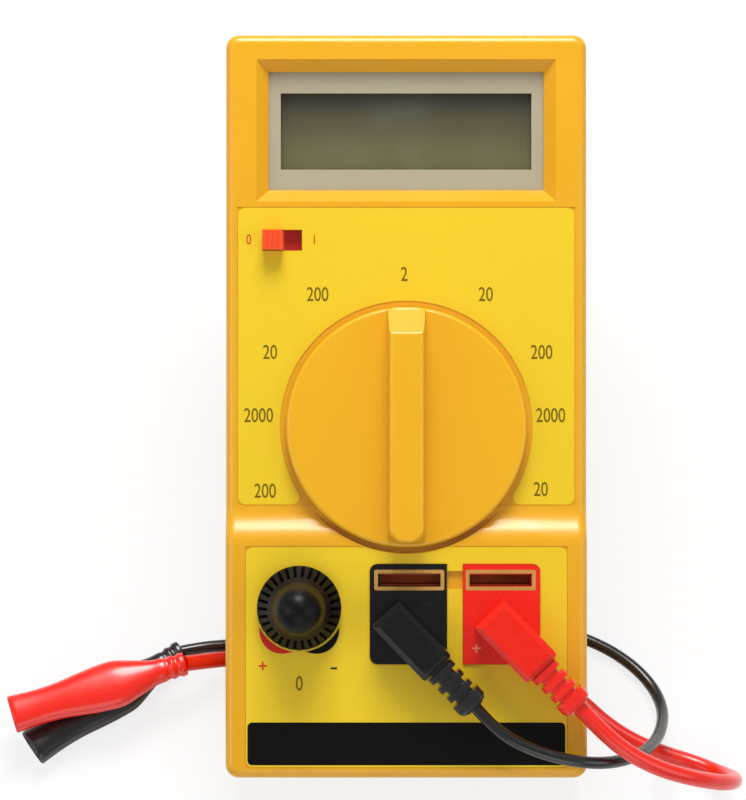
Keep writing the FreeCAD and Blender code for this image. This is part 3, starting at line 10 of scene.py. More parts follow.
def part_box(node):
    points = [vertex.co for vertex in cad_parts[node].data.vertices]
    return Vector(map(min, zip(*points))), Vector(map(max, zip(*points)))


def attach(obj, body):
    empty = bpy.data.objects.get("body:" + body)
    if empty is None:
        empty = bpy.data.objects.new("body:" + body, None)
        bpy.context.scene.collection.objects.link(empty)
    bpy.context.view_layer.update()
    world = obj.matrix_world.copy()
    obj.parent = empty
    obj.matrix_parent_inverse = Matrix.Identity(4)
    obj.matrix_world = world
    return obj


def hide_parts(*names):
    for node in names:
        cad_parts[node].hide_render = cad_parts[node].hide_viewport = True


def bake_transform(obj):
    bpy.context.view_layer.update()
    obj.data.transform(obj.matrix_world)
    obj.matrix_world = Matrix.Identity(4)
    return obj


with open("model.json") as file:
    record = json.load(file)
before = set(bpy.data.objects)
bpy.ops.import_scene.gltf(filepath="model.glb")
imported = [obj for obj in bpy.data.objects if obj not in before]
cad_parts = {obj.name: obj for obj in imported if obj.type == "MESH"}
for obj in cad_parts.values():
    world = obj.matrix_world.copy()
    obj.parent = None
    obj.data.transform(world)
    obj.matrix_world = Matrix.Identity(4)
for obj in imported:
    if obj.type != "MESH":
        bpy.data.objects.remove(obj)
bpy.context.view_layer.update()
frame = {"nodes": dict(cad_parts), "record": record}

bl_info = {
    "name": "Capacitance Meter",
    "version": (1, 0, 0),
    "blender": (4, 5, 0),
    "location": "View3D > Sidebar > Meter",
    "description": "Finishes, leads, clip boots and markings for a hand-held capacitance meter",
    "category": "Object",
}

MM = 0.001

# The case's own frame: x right, y up the case, z out of the front, its origin at the back's bottom edge.
BACK = next(mount for mount in frame["record"]["mounts"] if mount["name"] == "back_face")
TILT = math.atan2(BACK["axis"][1], -BACK["axis"][2])
BACK_Y = 15.0
CASE = (
    Matrix.Translation(BACK["pos_m"])
    @ Matrix.Rotation(TILT, 4, "X")
    @ Matrix.Translation((0, -BACK_Y * MM, 0))
)

# Levels above the back of the case, in millimetres.
SPLIT_LEVEL = 19.0
SHOE_TOP = 31.21
UPPER_LABEL_TOP = 33.95
LOWER_LABEL_TOP = 36.95
BLOCK_TOP = 37.4
INK_THICK = 0.02

# Half the case's width and its length, and the radius of its corners in plan.
HALF_WIDTH = 44.0
LENGTH = 181.0
CORNER = 3.2

# Routes of the leads from the strain relief to the clip's neck, in metres, as the tubes take them.
LEADS = {
    "black": {
        "diameter": 0.003,
        "length": 0.216,
        "points": [
            (0.01665, -0.07584, 0.04492),
            (0.0216, -0.0812, 0.0429),
            (0.0295, -0.0852, 0.0414),
            (0.0382, -0.0876, 0.0403),
            (0.0472, -0.0878, 0.0378),
            (0.0548, -0.0844, 0.0316),
            (0.0606, -0.0784, 0.0226),
            (0.0642, -0.0708, 0.0134),
            (0.0656, -0.0628, 0.0062),
            (0.0636, -0.0552, 0.0024),
            (0.0582, -0.0486, 0.0016),
            (0.0498, -0.0430, 0.0016),
            (0.0376, -0.0386, 0.0016),
            (0.0210, -0.0362, 0.0016),
            (0.0020, -0.0358, 0.0016),
            (-0.0170, -0.0374, 0.0016),
            (-0.0330, -0.0410, 0.0016),
            (-0.0444, -0.0438, 0.0023),
            (-0.0516, -0.0446, 0.0032),
            (-0.0572, -0.0460, 0.0037),
        ],
    },
    "red": {
        "diameter": 0.004,
        "length": 0.214,
        "points": [
            (0.04165, -0.07584, 0.04492),
            (0.0468, -0.0810, 0.0430),
            (0.0532, -0.0856, 0.0400),
            (0.0610, -0.0884, 0.0360),
            (0.0694, -0.0892, 0.0314),
            (0.0760, -0.0884, 0.0258),
            (0.0808, -0.0864, 0.0194),
            (0.0824, -0.0828, 0.0112),
            (0.0794, -0.0790, 0.0044),
            (0.0732, -0.0754, 0.0021),
            (0.0656, -0.0730, 0.0021),
            (0.0576, -0.0696, 0.0021),
            (0.0506, -0.0646, 0.0021),
            (0.0446, -0.0584, 0.0021),
            (0.0356, -0.0532, 0.0021),
            (0.0200, -0.0500, 0.0021),
            (-0.0020, -0.0498, 0.0021),
            (-0.0220, -0.0486, 0.0021),
            (-0.0360, -0.0472, 0.0025),
            (-0.0446, -0.0482, 0.0044),
            (-0.0504, -0.0502, 0.0080),
            (-0.0558, -0.0520, 0.0108),
        ],
    },
}

# Where each clip points on the floor.
CLIP_HEADING = {"black": math.radians(-144.9), "red": math.radians(-162.4)}

# Numbers round the selector: text, and its middle in the case's frame.
SCALE_FIGURES = [
    ("200", -34.4, 69.6),
    ("2000", -36.0, 88.0),
    ("20", -33.2, 103.4),
    ("200", -21.6, 117.5),
    ("2", -0.5, 122.4),
    ("20", 19.4, 117.5),
    ("200", 33.0, 103.4),
    ("2000", 35.2, 88.0),
    ("20", 32.8, 70.0),
]


def metres(*point):
    """A point that is given in millimetres."""
    return Vector([value * MM for value in point])


def srgb(red, green, blue):
    """A linear colour from display values of 0 to 255."""
    shares = [value / 255 for value in (red, green, blue)]
    return tuple(s / 12.92 if s <= 0.04045 else ((s + 0.055) / 1.055) ** 2.4 for s in shares)


def colour_setting(name, description, default):
    """A colour that the user may change."""
    return FloatVectorProperty(
        name=name, description=description, default=default, subtype="COLOR", min=0, max=1
    )


class MeterSettings(bpy.types.PropertyGroup):
    case_colour: colour_setting("Case", "Moulded case, door and stand", srgb(232, 168, 8))
    label_colour: colour_setting("Labels", "Printed overlays on the front", srgb(235, 199, 26))
    knob_colour: colour_setting("Selector", "Selector knob", srgb(238, 176, 6))
    ink_colour: colour_setting("Ink", "Numbers on the upper overlay", srgb(112, 92, 20))
    red_colour: colour_setting("Red", "Red plug, terminal and lead", srgb(240, 28, 4))
    black_colour: colour_setting("Black", "Black plug, terminal, knob and lead", srgb(14, 12, 12))
    figure_height: FloatProperty(
        name="Figure height",
        description="Size of the selector's numbers",
        default=4.9 * MM,
        subtype="DISTANCE",
    )
    boot_wall: FloatProperty(
        name="Boot wall",
        description="Thickness of a clip boot's vinyl",
        default=0.8 * MM,
        subtype="DISTANCE",
    )
    lamp_power: FloatProperty(
        name="Light", description="Power that every lamp takes its share of", default=2.6, subtype="POWER"
    )


# ---------------------------------------------------------------- shader maths


class Channel:
    """A shader socket that takes part in Python arithmetic."""

    def __init__(self, finish, socket):
        self.finish = finish
        self.socket = socket

    def join(self, operation, first, second):
        return self.finish.node("ShaderNodeMath", {"operation": operation}, {0: first, 1: second})

    def __add__(self, other):
        return self.join("ADD", self, other)

    def __radd__(self, other):
        return self.join("ADD", other, self)

    def __sub__(self, other):
        return self.join("SUBTRACT", self, other)

    def __rsub__(self, other):
        return self.join("SUBTRACT", other, self)

    def __mul__(self, other):
        return self.join("MULTIPLY", self, other)

    def __rmul__(self, other):
        return self.join("MULTIPLY", other, self)

    def __truediv__(self, other):
        return self.join("DIVIDE", self, other)

    def ramp(self, low, high):
        """0 below low, 1 above high and smooth between them."""
        settings = {"interpolation_type": "SMOOTHSTEP"}
        values = {"Value": self, "From Min": low, "From Max": high}
        return self.finish.node("ShaderNodeMapRange", settings, values)


class Shading:
    """A shader tree whose nodes come from one method."""

    def __init__(self, tree, output):
        self.tree = tree
        self.output = tree.nodes[output]

    def node(self, kind, settings=None, values=None, output=0):
        """A node of one kind, given its settings and then the values or links of its sockets."""
        made = self.tree.nodes.new(kind)
        for name, value in (settings or {}).items():
            setattr(made, name, value)
        for name, value in (values or {}).items():
            self.feed(made.inputs[name], value)
        return Channel(self, made.outputs[output])

    def feed(self, socket, value):
        """Links a socket, or sets it; a colour is given without its alpha."""
        if isinstance(value, Channel):
            self.tree.links.new(value.socket, socket)
        elif socket.type == "RGBA":
            socket.default_value = (*value, 1)
        else:
            socket.default_value = value

    def surface(self, share, first, second):
        """Sends a blend of two shaders to the output."""
        blend = self.node("ShaderNodeMixShader", None, {0: share, 1: first, 2: second})
        self.feed(self.output.inputs["Surface"], blend)


class Finish(Shading):
    """A material round one principled shader."""

    def __init__(self, name):
        self.material = bpy.data.materials.new(name)
        self.material.use_nodes = True
        super().__init__(self.material.node_tree, "Material Output")
        self.shader = self.tree.nodes["Principled BSDF"]
        self.skin = Channel(self, self.shader.outputs[0])
        self.place = self.node("ShaderNodeTexCoord", output="Object")

    def set(self, **values):
        """Feeds the shader's sockets, named with underscores for spaces."""
        for name, value in values.items():
            self.feed(self.shader.inputs[name.replace("_", " ")], value)

    def noise(self, scale, detail=3.0, stretch=None):
        """Noise of so many cells to a metre, finer along the axes that are stretched."""
        place = self.place
        if stretch:
            place = self.node("ShaderNodeVectorMath", {"operation": "MULTIPLY"}, {0: place, 1: stretch})
        values = {"Vector": place, "Scale": scale, "Detail": detail}
        return self.node("ShaderNodeTexNoise", None, values)

    def along(self, direction, start, length):
        """0 to 1 along a direction from a start, both in metres."""
        values = {0: self.place, 1: tuple(direction)}
        reach = self.node("ShaderNodeVectorMath", {"operation": "DOT_PRODUCT"}, values, "Value")
        return (reach - start) / length

    def mix(self, share, first, second):
        """A share of the second colour in the first."""
        return self.node("ShaderNodeMix", {"data_type": "RGBA"}, {0: share, 6: first, 7: second}, 2)

    def bump(self, height, depth, strength=1.0):
        """Relief of so many metres."""
        values = {"Height": height, "Distance": depth, "Strength": strength}
        self.set(Normal=self.node("ShaderNodeBump", None, values))


def shade(colour, factor):
    """A colour made darker or lighter."""
    return tuple(min(1.0, channel * factor) for channel in colour)


def moulded(name, colour, rough, depth=0.012, mottle=0.5, coat=0.0):
    """Moulded plastic: a fine spark-eroded grain, faint mottling and polished high spots."""
    finish = Finish(name)
    broad = finish.noise(26.0, 2.0)
    fine = finish.noise(1900.0, 2.0)
    rubbed = finish.noise(70.0, 5.0).ramp(0.5, 0.72)
    tone = (broad - 0.35) * mottle + fine * 0.08
    finish.set(
        Base_Color=finish.mix(tone, colour, shade(colour, 0.72)),
        Roughness=rough + fine * 0.12 - rubbed * 0.1,
    )
    finish.bump(fine + rubbed * 0.2, depth * MM, 0.6)
    finish.set(Coat_Weight=coat, Coat_Roughness=0.12)
    return finish


def glossy(name, colour, rough, coat=0.5, shine=0.5):
    """Polished plastic with hairline scratches and a trace of dust."""
    finish = Finish(name)
    scratches = finish.noise(60.0, 6.0, (1.0, 22.0, 1.0)).ramp(0.58, 0.66)
    dust = finish.noise(420.0, 4.0).ramp(0.56, 0.74)
    broad = finish.noise(45.0, 2.0)
    dusty = tuple(channel * 0.8 + 0.02 for channel in colour)
    finish.set(
        Base_Color=finish.mix(dust * 0.25 + broad * 0.12, colour, dusty),
        Roughness=rough + scratches * 0.08 + dust * 0.1,
    )
    finish.bump(scratches * -0.15 + broad, 0.01 * MM, 0.4)
    finish.set(Coat_Weight=coat, Coat_Roughness=0.08, Specular_IOR_Level=shine)
    return finish


def vinyl(name, colour, rough=0.3):
    """Soft vinyl: slow ripples, a waxy bloom and finger marks."""
    finish = Finish(name)
    ripple = finish.noise(210.0, 2.0)
    bloom = finish.noise(90.0, 5.0).ramp(0.48, 0.75)
    fine = finish.noise(1500.0, 2.0)
    waxy = tuple(channel * 0.8 + 0.01 for channel in colour)
    finish.set(
        Base_Color=finish.mix(bloom * 0.3 + fine * 0.1, colour, waxy),
        Roughness=rough + bloom * 0.2 + fine * 0.06,
    )
    finish.bump(ripple + fine * 0.15, 0.06 * MM, 0.5)
    finish.set(Coat_Weight=0.5, Coat_Roughness=0.14)
    return finish


def metal(name, colour, rough=0.24):
    """Plated or turned metal with fine tool lines and dull patches."""
    finish = Finish(name)
    lines = finish.noise(700.0, 3.0, (1.0, 1.0, 26.0))
    dull = finish.noise(160.0, 4.0).ramp(0.45, 0.8)
    finish.set(
        Base_Color=finish.mix(dull * 0.5, colour, shade(colour, 0.62)),
        Roughness=rough + lines * 0.14 + dull * 0.18,
    )
    finish.bump(lines, 0.006 * MM, 0.5)
    finish.set(Metallic=1.0)
    return finish


def ink(name, colour):
    """Screen-printed ink, slightly uneven in cover."""
    finish = Finish(name)
    cover = finish.noise(900.0, 3.0).ramp(0.3, 0.8)
    finish.set(
        Base_Color=finish.mix(cover * 0.3, colour, shade(colour, 1.5)),
        Roughness=0.42 + cover * 0.15,
    )
    finish.set(Specular_IOR_Level=0.15)
    return finish


def overlay(name, colour):
    """A printed polyester overlay with a fine velvet texture."""
    finish = Finish(name)
    velvet = finish.noise(2600.0, 2.0)
    broad = finish.noise(22.0, 2.0)
    stain = finish.noise(55.0, 6.0).ramp(0.58, 0.8)
    finish.set(
        Base_Color=finish.mix(broad * 0.25 + stain * 0.2, colour, shade(colour, 0.84)),
        Roughness=0.36 + velvet * 0.1 + stain * 0.08,
    )
    finish.bump(velvet, 0.006 * MM, 0.5)
    return finish


def display_glass():
    """The display's cell: grey-green, with a painted shadow of the bezel that darkens it towards its
    upper edge, and a fine haze.
    """
    finish = Finish("display_cell")
    up = CASE.to_3x3() @ Vector((0, 1, 0))
    low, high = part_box("lcd_glass")
    start = up.dot(Vector((0, low[1], low[2])))
    length = up.dot(Vector((0, high[1], high[2]))) - start
    height = finish.along(up, start, length)
    haze = finish.noise(1400.0, 2.0)
    cloud = finish.noise(38.0, 2.0)
    # Painted shadow: the upper colour is the cell in the bezel's shade, blended in towards the upper
    # edge.
    upper, lower = srgb(50, 42, 22), srgb(102, 98, 54)
    shadowed_field = finish.mix(height.ramp(0.1, 0.95), lower, upper)
    share = haze * 0.12 + cloud * 0.2
    finish.set(Base_Color=finish.mix(share, shadowed_field, shade(upper, 0.8)), Roughness=0.3 + haze * 0.1)
    return finish


def clear_pane(name, tint, share):
    """A thin clear pane: see-through but for a share of polished skin."""
    finish = Finish(name)
    smear = finish.noise(60.0, 4.0).ramp(0.45, 0.8)
    finish.set(Base_Color=tint, Roughness=0.06 + smear * 0.12)
    finish.set(Specular_IOR_Level=0.5)
    through = finish.node("ShaderNodeBsdfTransparent")
    finish.surface(share + smear * 0.03, through, finish.skin)
    return finish


def board_finish():
    """Solder mask with copper tracks that show through it."""
    finish = Finish("solder_mask")
    values = {"Vector": finish.place, "Scale": 220.0}
    cells = finish.node("ShaderNodeTexVoronoi", {"feature": "DISTANCE_TO_EDGE"}, values)
    track = 1 - cells.ramp(0.04, 0.07)
    finish.set(
        Base_Color=finish.mix(track * 0.5, srgb(20, 82, 44), srgb(60, 130, 60)),
        Roughness=0.3 + finish.noise(800.0) * 0.15,
    )
    finish.bump(track, 0.02 * MM)
    return finish


def striped(name, colour, band, scale):
    """A lacquered part with bands round it."""
    finish = Finish(name)
    values = {"Vector": finish.place, "Scale": scale, "Distortion": 0.4}
    stripes = finish.node("ShaderNodeTexWave", None, values).ramp(0.7, 0.8)
    finish.set(
        Base_Color=finish.mix(stripes, colour, band),
        Roughness=0.32 + finish.noise(600.0) * 0.12,
    )
    return finish


def choices():
    """The sizes and colours that the user has set."""
    return bpy.context.scene.meter


# Finishes under the names that slots and pieces ask for; each is made when it is first asked for.
FINISHES = {
    "case": lambda: moulded("amber_case", choices().case_colour, 0.32, mottle=0.4, coat=0.25),
    "stand": lambda: moulded("amber_stand", choices().case_colour, 0.34, mottle=0.4, coat=0.2),
    "knob": lambda: moulded("orange_knob", choices().knob_colour, 0.32, 0.008, 0.3, 0.25),
    "label": lambda: overlay("overlay", choices().label_colour),
    "bezel": lambda: moulded("grey_bezel", srgb(172, 163, 138), 0.36, depth=0.006, mottle=0.2),
    "window": lambda: clear_pane("window_pane", srgb(225, 230, 220), 0.03),
    "lcd": display_glass,
    "white_plastic": lambda: moulded("natural_nylon", srgb(226, 224, 214), 0.45),
    "dark_rubber": lambda: moulded("contact_rubber", srgb(90, 90, 96), 0.6),
    "board": board_finish,
    "chip": lambda: moulded("chip_epoxy", srgb(34, 34, 36), 0.5),
    "resistor": lambda: striped("banded_lacquer", srgb(205, 176, 126), srgb(120, 50, 30), 900.0),
    "capacitor": lambda: glossy("dipped_film", srgb(158, 52, 34), 0.25),
    "blue_plastic": lambda: glossy("trimmer_blue", srgb(40, 92, 176), 0.3),
    "fuse_glass": lambda: clear_pane("fuse_glass", srgb(220, 228, 228), 0.25),
    "spring_metal": lambda: metal("spring_bronze", srgb(206, 176, 122)),
    "zinc": lambda: metal("zinc_plate", srgb(196, 198, 202)),
    "brass": lambda: metal("turned_brass", srgb(214, 178, 98), 0.2),
    "clip_metal": lambda: metal("nickel_plate", srgb(206, 202, 196), 0.2),
    "battery": lambda: striped("battery_can", srgb(46, 48, 56), srgb(186, 140, 60), 60.0),
    "black_plastic": lambda: glossy("gloss_black", choices().black_colour, 0.22, 0.15, 0.3),
    "red_plastic": lambda: glossy("gloss_red", choices().red_colour, 0.24, 0.15, 0.4),
    "switch_red": lambda: glossy("switch_red", srgb(242, 79, 30), 0.25, 0.2),
    "wire": lambda: vinyl("wire_vinyl", srgb(190, 40, 30)),
    "black_vinyl": lambda: vinyl("black_vinyl", choices().black_colour, 0.26),
    "red_vinyl": lambda: vinyl("red_vinyl", choices().red_colour, 0.26),
    "seam_shadow": lambda: moulded("seam_shadow", srgb(120, 74, 8), 0.6),
    # Painted shade: a darker red for the switch's shoe, where its slot shades it.
    "switch_painted_shade": lambda: glossy("switch_painted_shade", srgb(196, 26, 8), 0.4, 0.1),
    "satin_black": lambda: glossy("satin_black", srgb(10, 9, 10), 0.36, 0.0, 0.16),
    "copper": lambda: metal("copper_contact", srgb(176, 84, 48), 0.34),
    "ink": lambda: ink("olive_ink", choices().ink_colour),
    "black_ink": lambda: ink("black_ink", srgb(5, 4, 3)),
    "pale_ink": lambda: ink("pale_ink", srgb(255, 150, 124)),
    "red_ink": lambda: ink("red_ink", srgb(206, 44, 30)),
    "tan_ink": lambda: ink("tan_ink", srgb(186, 142, 74)),
}
# Finishes of single nodes that differ from their slot's.
NODE_FINISHES = {"zero_knob": "satin_black", "slot_contacts": "copper"}
MADE = {}


def finish_named(name):
    """A finish's material, made once."""
    if name not in MADE:
        MADE[name] = FINISHES[name]().material
    return MADE[name]


# ---------------------------------------------------------------- meshes


def add_piece(name, mesh, finish, body="root"):
    """A new piece that rides on a body, if one is named, and takes its finish from a slot."""
    piece = bpy.data.objects.new(name, mesh)
    bpy.context.collection.objects.link(piece)
    piece.data.materials.append(finish_named(finish))
    if body:
        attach(piece, body)
    return piece


def mesh_from(name, build, smooth=True):
    """A mesh made by a function that fills a bmesh."""
    mesh = bpy.data.meshes.new(name)
    form = bmesh.new()
    build(form)
    bmesh.ops.recalc_face_normals(form, faces=form.faces)
    form.to_mesh(mesh)
    form.free()
    for face in mesh.polygons:
        face.use_smooth = smooth
    return mesh


def skin_rings(form, rings, closed=False):
    """Faces between each ring of points and the next; the ends are capped, or joined to each other."""
    loops = [[form.verts.new(point) for point in ring] for ring in rings]
    pairs = list(zip(loops, loops[1:]))
    if closed:
        pairs.append((loops[-1], loops[0]))
    for near, far in pairs:
        count = len(near)
        for index in range(count):
            after = (index + 1) % count
            form.faces.new((near[index], near[after], far[after], far[index]))
    if not closed:
        form.faces.new(loops[0])
        form.faces.new(loops[-1])


def flat_plate(name, outline, thick, hole=None):
    """A thin plate with an outline in the case's plane, and one hole that has as many corners."""

    def ring(points, level):
        return [metres(x, y, level) for x, y in points]

    def build(form):
        rings = [ring(outline, 0), ring(outline, thick)]
        if hole:
            rings += [ring(hole, thick), ring(hole, 0)]
        skin_rings(form, rings, closed=bool(hole))

    return mesh_from(name, build, smooth=False)


def rounded_rectangle(low, high, radius, steps=6):
    """Corner points of a rectangle with round corners, in millimetres."""
    left, bottom = low[0] + radius, low[1] + radius
    right, top = high[0] - radius, high[1] - radius
    points = []
    for x, y, start in ((right, top, 0), (left, top, 90), (left, bottom, 180), (right, bottom, 270)):
        for step in range(steps + 1):
            turn = math.radians(start + 90 * step / steps)
            points.append((x + radius * math.cos(turn), y + radius * math.sin(turn)))
    return points


def crescent(centre, inner, outer, start, end, steps=28):
    """A crescent between two angles in degrees, widest in its middle."""
    far, near = [], []
    for step in range(steps + 1):
        share = step / steps
        turn = math.radians(start + (end - start) * share)
        width = (outer - inner) * math.sin(math.pi * share)
        reach = Vector((math.cos(turn), math.sin(turn)))
        far.append(tuple(Vector(centre) + reach * (inner + max(width, 0.02))))
        near.append(tuple(Vector(centre) + reach * inner))
    return far + near[::-1]


def lettering(name, text, x, y, level, height, finish, narrow=0.74):
    """Printed figures, as thin solid letters on the front."""
    curve = bpy.data.curves.new(name, "FONT")
    curve.body = text
    curve.size = height
    curve.align_x = "CENTER"
    curve.align_y = "CENTER"
    curve.extrude = INK_THICK * MM / 2
    curve.offset = height * 0.006
    place = CASE @ Matrix.Translation(metres(x, y, level + INK_THICK / 2))
    draft = bpy.data.objects.new(name, curve)
    bpy.context.collection.objects.link(draft)
    bpy.context.view_layer.update()
    drawn = draft.evaluated_get(bpy.context.evaluated_depsgraph_get())
    mesh = bpy.data.meshes.new_from_object(drawn)
    bpy.data.objects.remove(draft)
    mesh.transform(place @ Matrix.Diagonal((narrow, 1, 1, 1)))
    add_piece(name, mesh, finish)


def front_plate(name, outline, level, finish, hole=None, thick=INK_THICK, body="root"):
    """A flat mark or line on the front, its underside at a level."""
    mesh = flat_plate(name, outline, thick, hole)
    mesh.transform(CASE @ Matrix.Translation(metres(0, 0, level)))
    add_piece(name, mesh, finish, body)


# ---------------------------------------------------------------- operators


class METER_OT_stage(bpy.types.Operator):
    """Camera, lights, white background and a pale floor"""

    bl_idname = "meter.stage"
    bl_label = "Stage"

    # The camera's place over the case, and its lens: 36 mm of film takes in 181.35 mm at 780 mm.
    EYE = (-8.1, 91.9, 816.0)
    FILM = 36
    LENS = 36 * 780 / 181.35

    # The strength of the world's light, and the point on the case that every lamp faces.
    SKY = 0.34
    TARGET = (0, 90, 36)

    # Each lamp: its place round the case, its width in metres and its share of the power.
    LAMPS = (
        ("key", (0, 680, 360), 0.34, 1.8),
        ("fill_left", (-560, 60, 480), 0.5, 0.38),
        ("fill_right", (560, 20, 480), 0.5, 0.31),
        ("low", (40, -420, 520), 0.5, 0.3),
    )

    def execute(self, context):
        scene = context.scene
        scene.view_settings.view_transform = "Standard"
        self.add_camera(scene)
        self.add_lamps(scene)
        self.add_world(scene)
        self.add_floor(scene)
        return {"FINISHED"}

    def add_camera(self, scene):
        lens = bpy.data.cameras.new("camera")
        lens.sensor_fit = "HORIZONTAL"
        lens.sensor_width = self.FILM
        lens.lens = self.LENS
        lens.clip_start = 0.05
        camera = bpy.data.objects.new("camera", lens)
        scene.collection.objects.link(camera)
        camera.matrix_world = CASE @ Matrix.Translation(metres(*self.EYE))
        scene.camera = camera

    def add_lamps(self, scene):
        target = CASE @ metres(*self.TARGET)
        for name, spot, width, share in self.LAMPS:
            light = bpy.data.lights.new(name, "AREA")
            light.shape = "DISK"
            light.size = width
            light.energy = choices().lamp_power * share
            lamp = bpy.data.objects.new(name, light)
            scene.collection.objects.link(lamp)
            place = CASE @ metres(*spot)
            aim = (target - place).to_track_quat("-Z", "Y")
            lamp.matrix_world = Matrix.Translation(place) @ aim.to_matrix().to_4x4()

    def add_world(self, scene):
        scene.world = bpy.data.worlds.new("studio")
        scene.world.use_nodes = True
        studio = Shading(scene.world.node_tree, "World Output")
        straight = studio.node("ShaderNodeLightPath", output="Is Camera Ray")
        through = studio.node("ShaderNodeLightPath", output="Is Transmission Ray")
        seen = studio.node("ShaderNodeMath", {"operation": "MAXIMUM"}, {0: straight, 1: through})
        lit = studio.node("ShaderNodeBackground", None, {"Color": (1, 1, 1), "Strength": self.SKY})
        backdrop = studio.node("ShaderNodeBackground", None, {"Color": (0.8, 0.8, 0.8), "Strength": 1.0})
        studio.surface(seen, lit, backdrop)

    def add_floor(self, scene):
        finish = Finish("pale_floor")
        grain = finish.noise(40.0, 4.0)
        finish.set(
            Base_Color=finish.mix(grain * 0.1, (0.86, 0.86, 0.86), (0.8, 0.8, 0.8)),
            Roughness=0.7 + grain * 0.1,
        )
        glow = finish.node("ShaderNodeEmission", None, {"Color": (1.0, 1.0, 1.0), "Strength": 1.0})
        seen = finish.node("ShaderNodeLightPath", output="Is Camera Ray")
        finish.surface(seen * 0.8, finish.skin, glow)

        def build(form):
            bmesh.ops.create_grid(form, x_segments=8, y_segments=8, size=3.0)

        floor = bpy.data.objects.new("floor", mesh_from("floor", build))
        scene.collection.objects.link(floor)
        floor.location.z = -0.0002
        floor.data.materials.append(finish.material)


class METER_OT_leads(bpy.types.Operator):
    """The two test leads, each one smooth line from plug to clip"""

    bl_idname = "meter.leads"
    bl_label = "Leads"

    def execute(self, context):
        for side, facts in LEADS.items():
            curve = bpy.data.curves.new(f"{side}_test_lead", "CURVE")
            curve.dimensions = "3D"
            curve.bevel_depth = facts["diameter"] / 2
            curve.bevel_resolution = 6
            curve.use_fill_caps = True
            spline = curve.splines.new("NURBS")
            spline.points.add(len(facts["points"]) - 1)
            for point, place in zip(spline.points, facts["points"]):
                point.co = (*place, 1)
            spline.order_u = 3
            spline.use_endpoint_u = True
            spline.resolution_u = 10
            lead = add_piece(f"{side}_test_lead", curve, f"{side}_vinyl")
            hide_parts(f"{side}_lead")
        return {"FINISHED"}


# A plug's place: where its pin stands, the level of its middle and its turn in the case's plane.
JACK_X = {"black": -1.0, "red": 24.0}
JACK_Y = 36.2
PLUG_MIDDLE = 42.35
PLUG_TURN = math.radians(-46.2)

# A strain relief from the plug to its end: distance from the pin, and half its width and its height.
RELIEF_PROFILE = [
    (12.0, 2.5, 2.4),
    (12.8, 2.5, 2.4),
    (12.9, 3.8, 3.1),
    (14.5, 3.8, 3.1),
    (14.6, 2.5, 2.4),
    (15.9, 2.5, 2.4),
    (16.0, 3.7, 3.1),
    (17.6, 3.7, 3.1),
    (17.7, 2.5, 2.4),
    (19.0, 2.5, 2.4),
    (19.1, 3.6, 3.1),
    (20.6, 3.6, 3.1),
    (20.7, 2.5, 2.4),
    (21.7, 2.5, 2.4),
    (21.8, 4.1, 3.6),
    (24.2, 4.0, 3.6),
    (25.0, 3.3, 3.1),
    (25.5, 2.3, 2.3),
]

# A clip boot from its neck to its nose: distance, and half its width and its height.
BOOT_PROFILE = [
    (0.0, 2.75, 2.75),
    (1.2, 2.95, 2.95),
    (2.2, 2.6, 2.6),
    (3.4, 2.95, 2.95),
    (4.4, 2.6, 2.6),
    (5.8, 2.95, 2.9),
    (8.5, 3.3, 2.9),
    (12.5, 4.6, 3.1),
    (17.5, 6.1, 3.4),
    (22.0, 6.05, 3.4),
    (27.0, 5.5, 3.35),
    (33.0, 4.7, 3.2),
    (39.0, 4.5, 3.1),
    (45.0, 4.85, 3.2),
]
BOOT_LIP = [(45.5, 4.65, 3.0), (45.4, 4.35, 2.7)]
BOOT_STEPS = 4
# The boot is solid up to this stop, round the lead's end and the clip's neck, and hollow past it.
BOOT_SOLID = 6


def smooth_profile(stops, steps):
    """Rows between the stops, eased by a Catmull-Rom curve through them."""
    rows = []
    for index in range(len(stops) - 1):
        before = stops[max(index - 1, 0)]
        near, far = stops[index], stops[index + 1]
        after = stops[min(index + 2, len(stops) - 1)]
        for step in range(steps):
            t = step / steps
            row = []
            for a, b, c, d in zip(before, near, far, after):
                slope, bend, twist = c - a, 2 * a - 5 * b + 4 * c - d, 3 * b - a - 3 * c + d
                row.append(0.5 * (2 * b + slope * t + bend * t**2 + twist * t**3))
            rows.append(tuple(row))
    rows.append(stops[-1])
    return rows


def section(x, half, depth, power=2.4, count=40):
    """A section across the x axis: an ellipse at power 2, and squarer above it."""
    ring = []
    for index in range(count):
        turn = 2 * math.pi * index / count
        cosine, sine = math.cos(turn), math.sin(turn)
        y = half * math.copysign(abs(cosine) ** (2 / power), cosine)
        z = depth * math.copysign(abs(sine) ** (2 / power), sine)
        ring.append(metres(x, y, z))
    return ring


class METER_OT_reliefs(bpy.types.Operator):
    """The ribbed strain reliefs behind the plugs"""

    bl_idname = "meter.reliefs"
    bl_label = "Strain reliefs"

    def execute(self, context):
        for side, jack_x in JACK_X.items():

            def build(form):
                skin_rings(form, [section(*stop, power=4.5) for stop in RELIEF_PROFILE])

            mesh = mesh_from(f"{side}_relief", build, smooth=False)
            seat = Matrix.Translation(metres(jack_x, JACK_Y, PLUG_MIDDLE))
            mesh.transform(CASE @ seat @ Matrix.Rotation(PLUG_TURN, 4, "Z"))
            relief = add_piece(f"{side}_relief", mesh, f"{side}_vinyl")
            bevel = relief.modifiers.new("round", "BEVEL")
            bevel.width = 0.25 * MM
            bevel.segments = 2
            bevel.limit_method = "ANGLE"
            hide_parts(f"{side}_strain_relief")
        return {"FINISHED"}


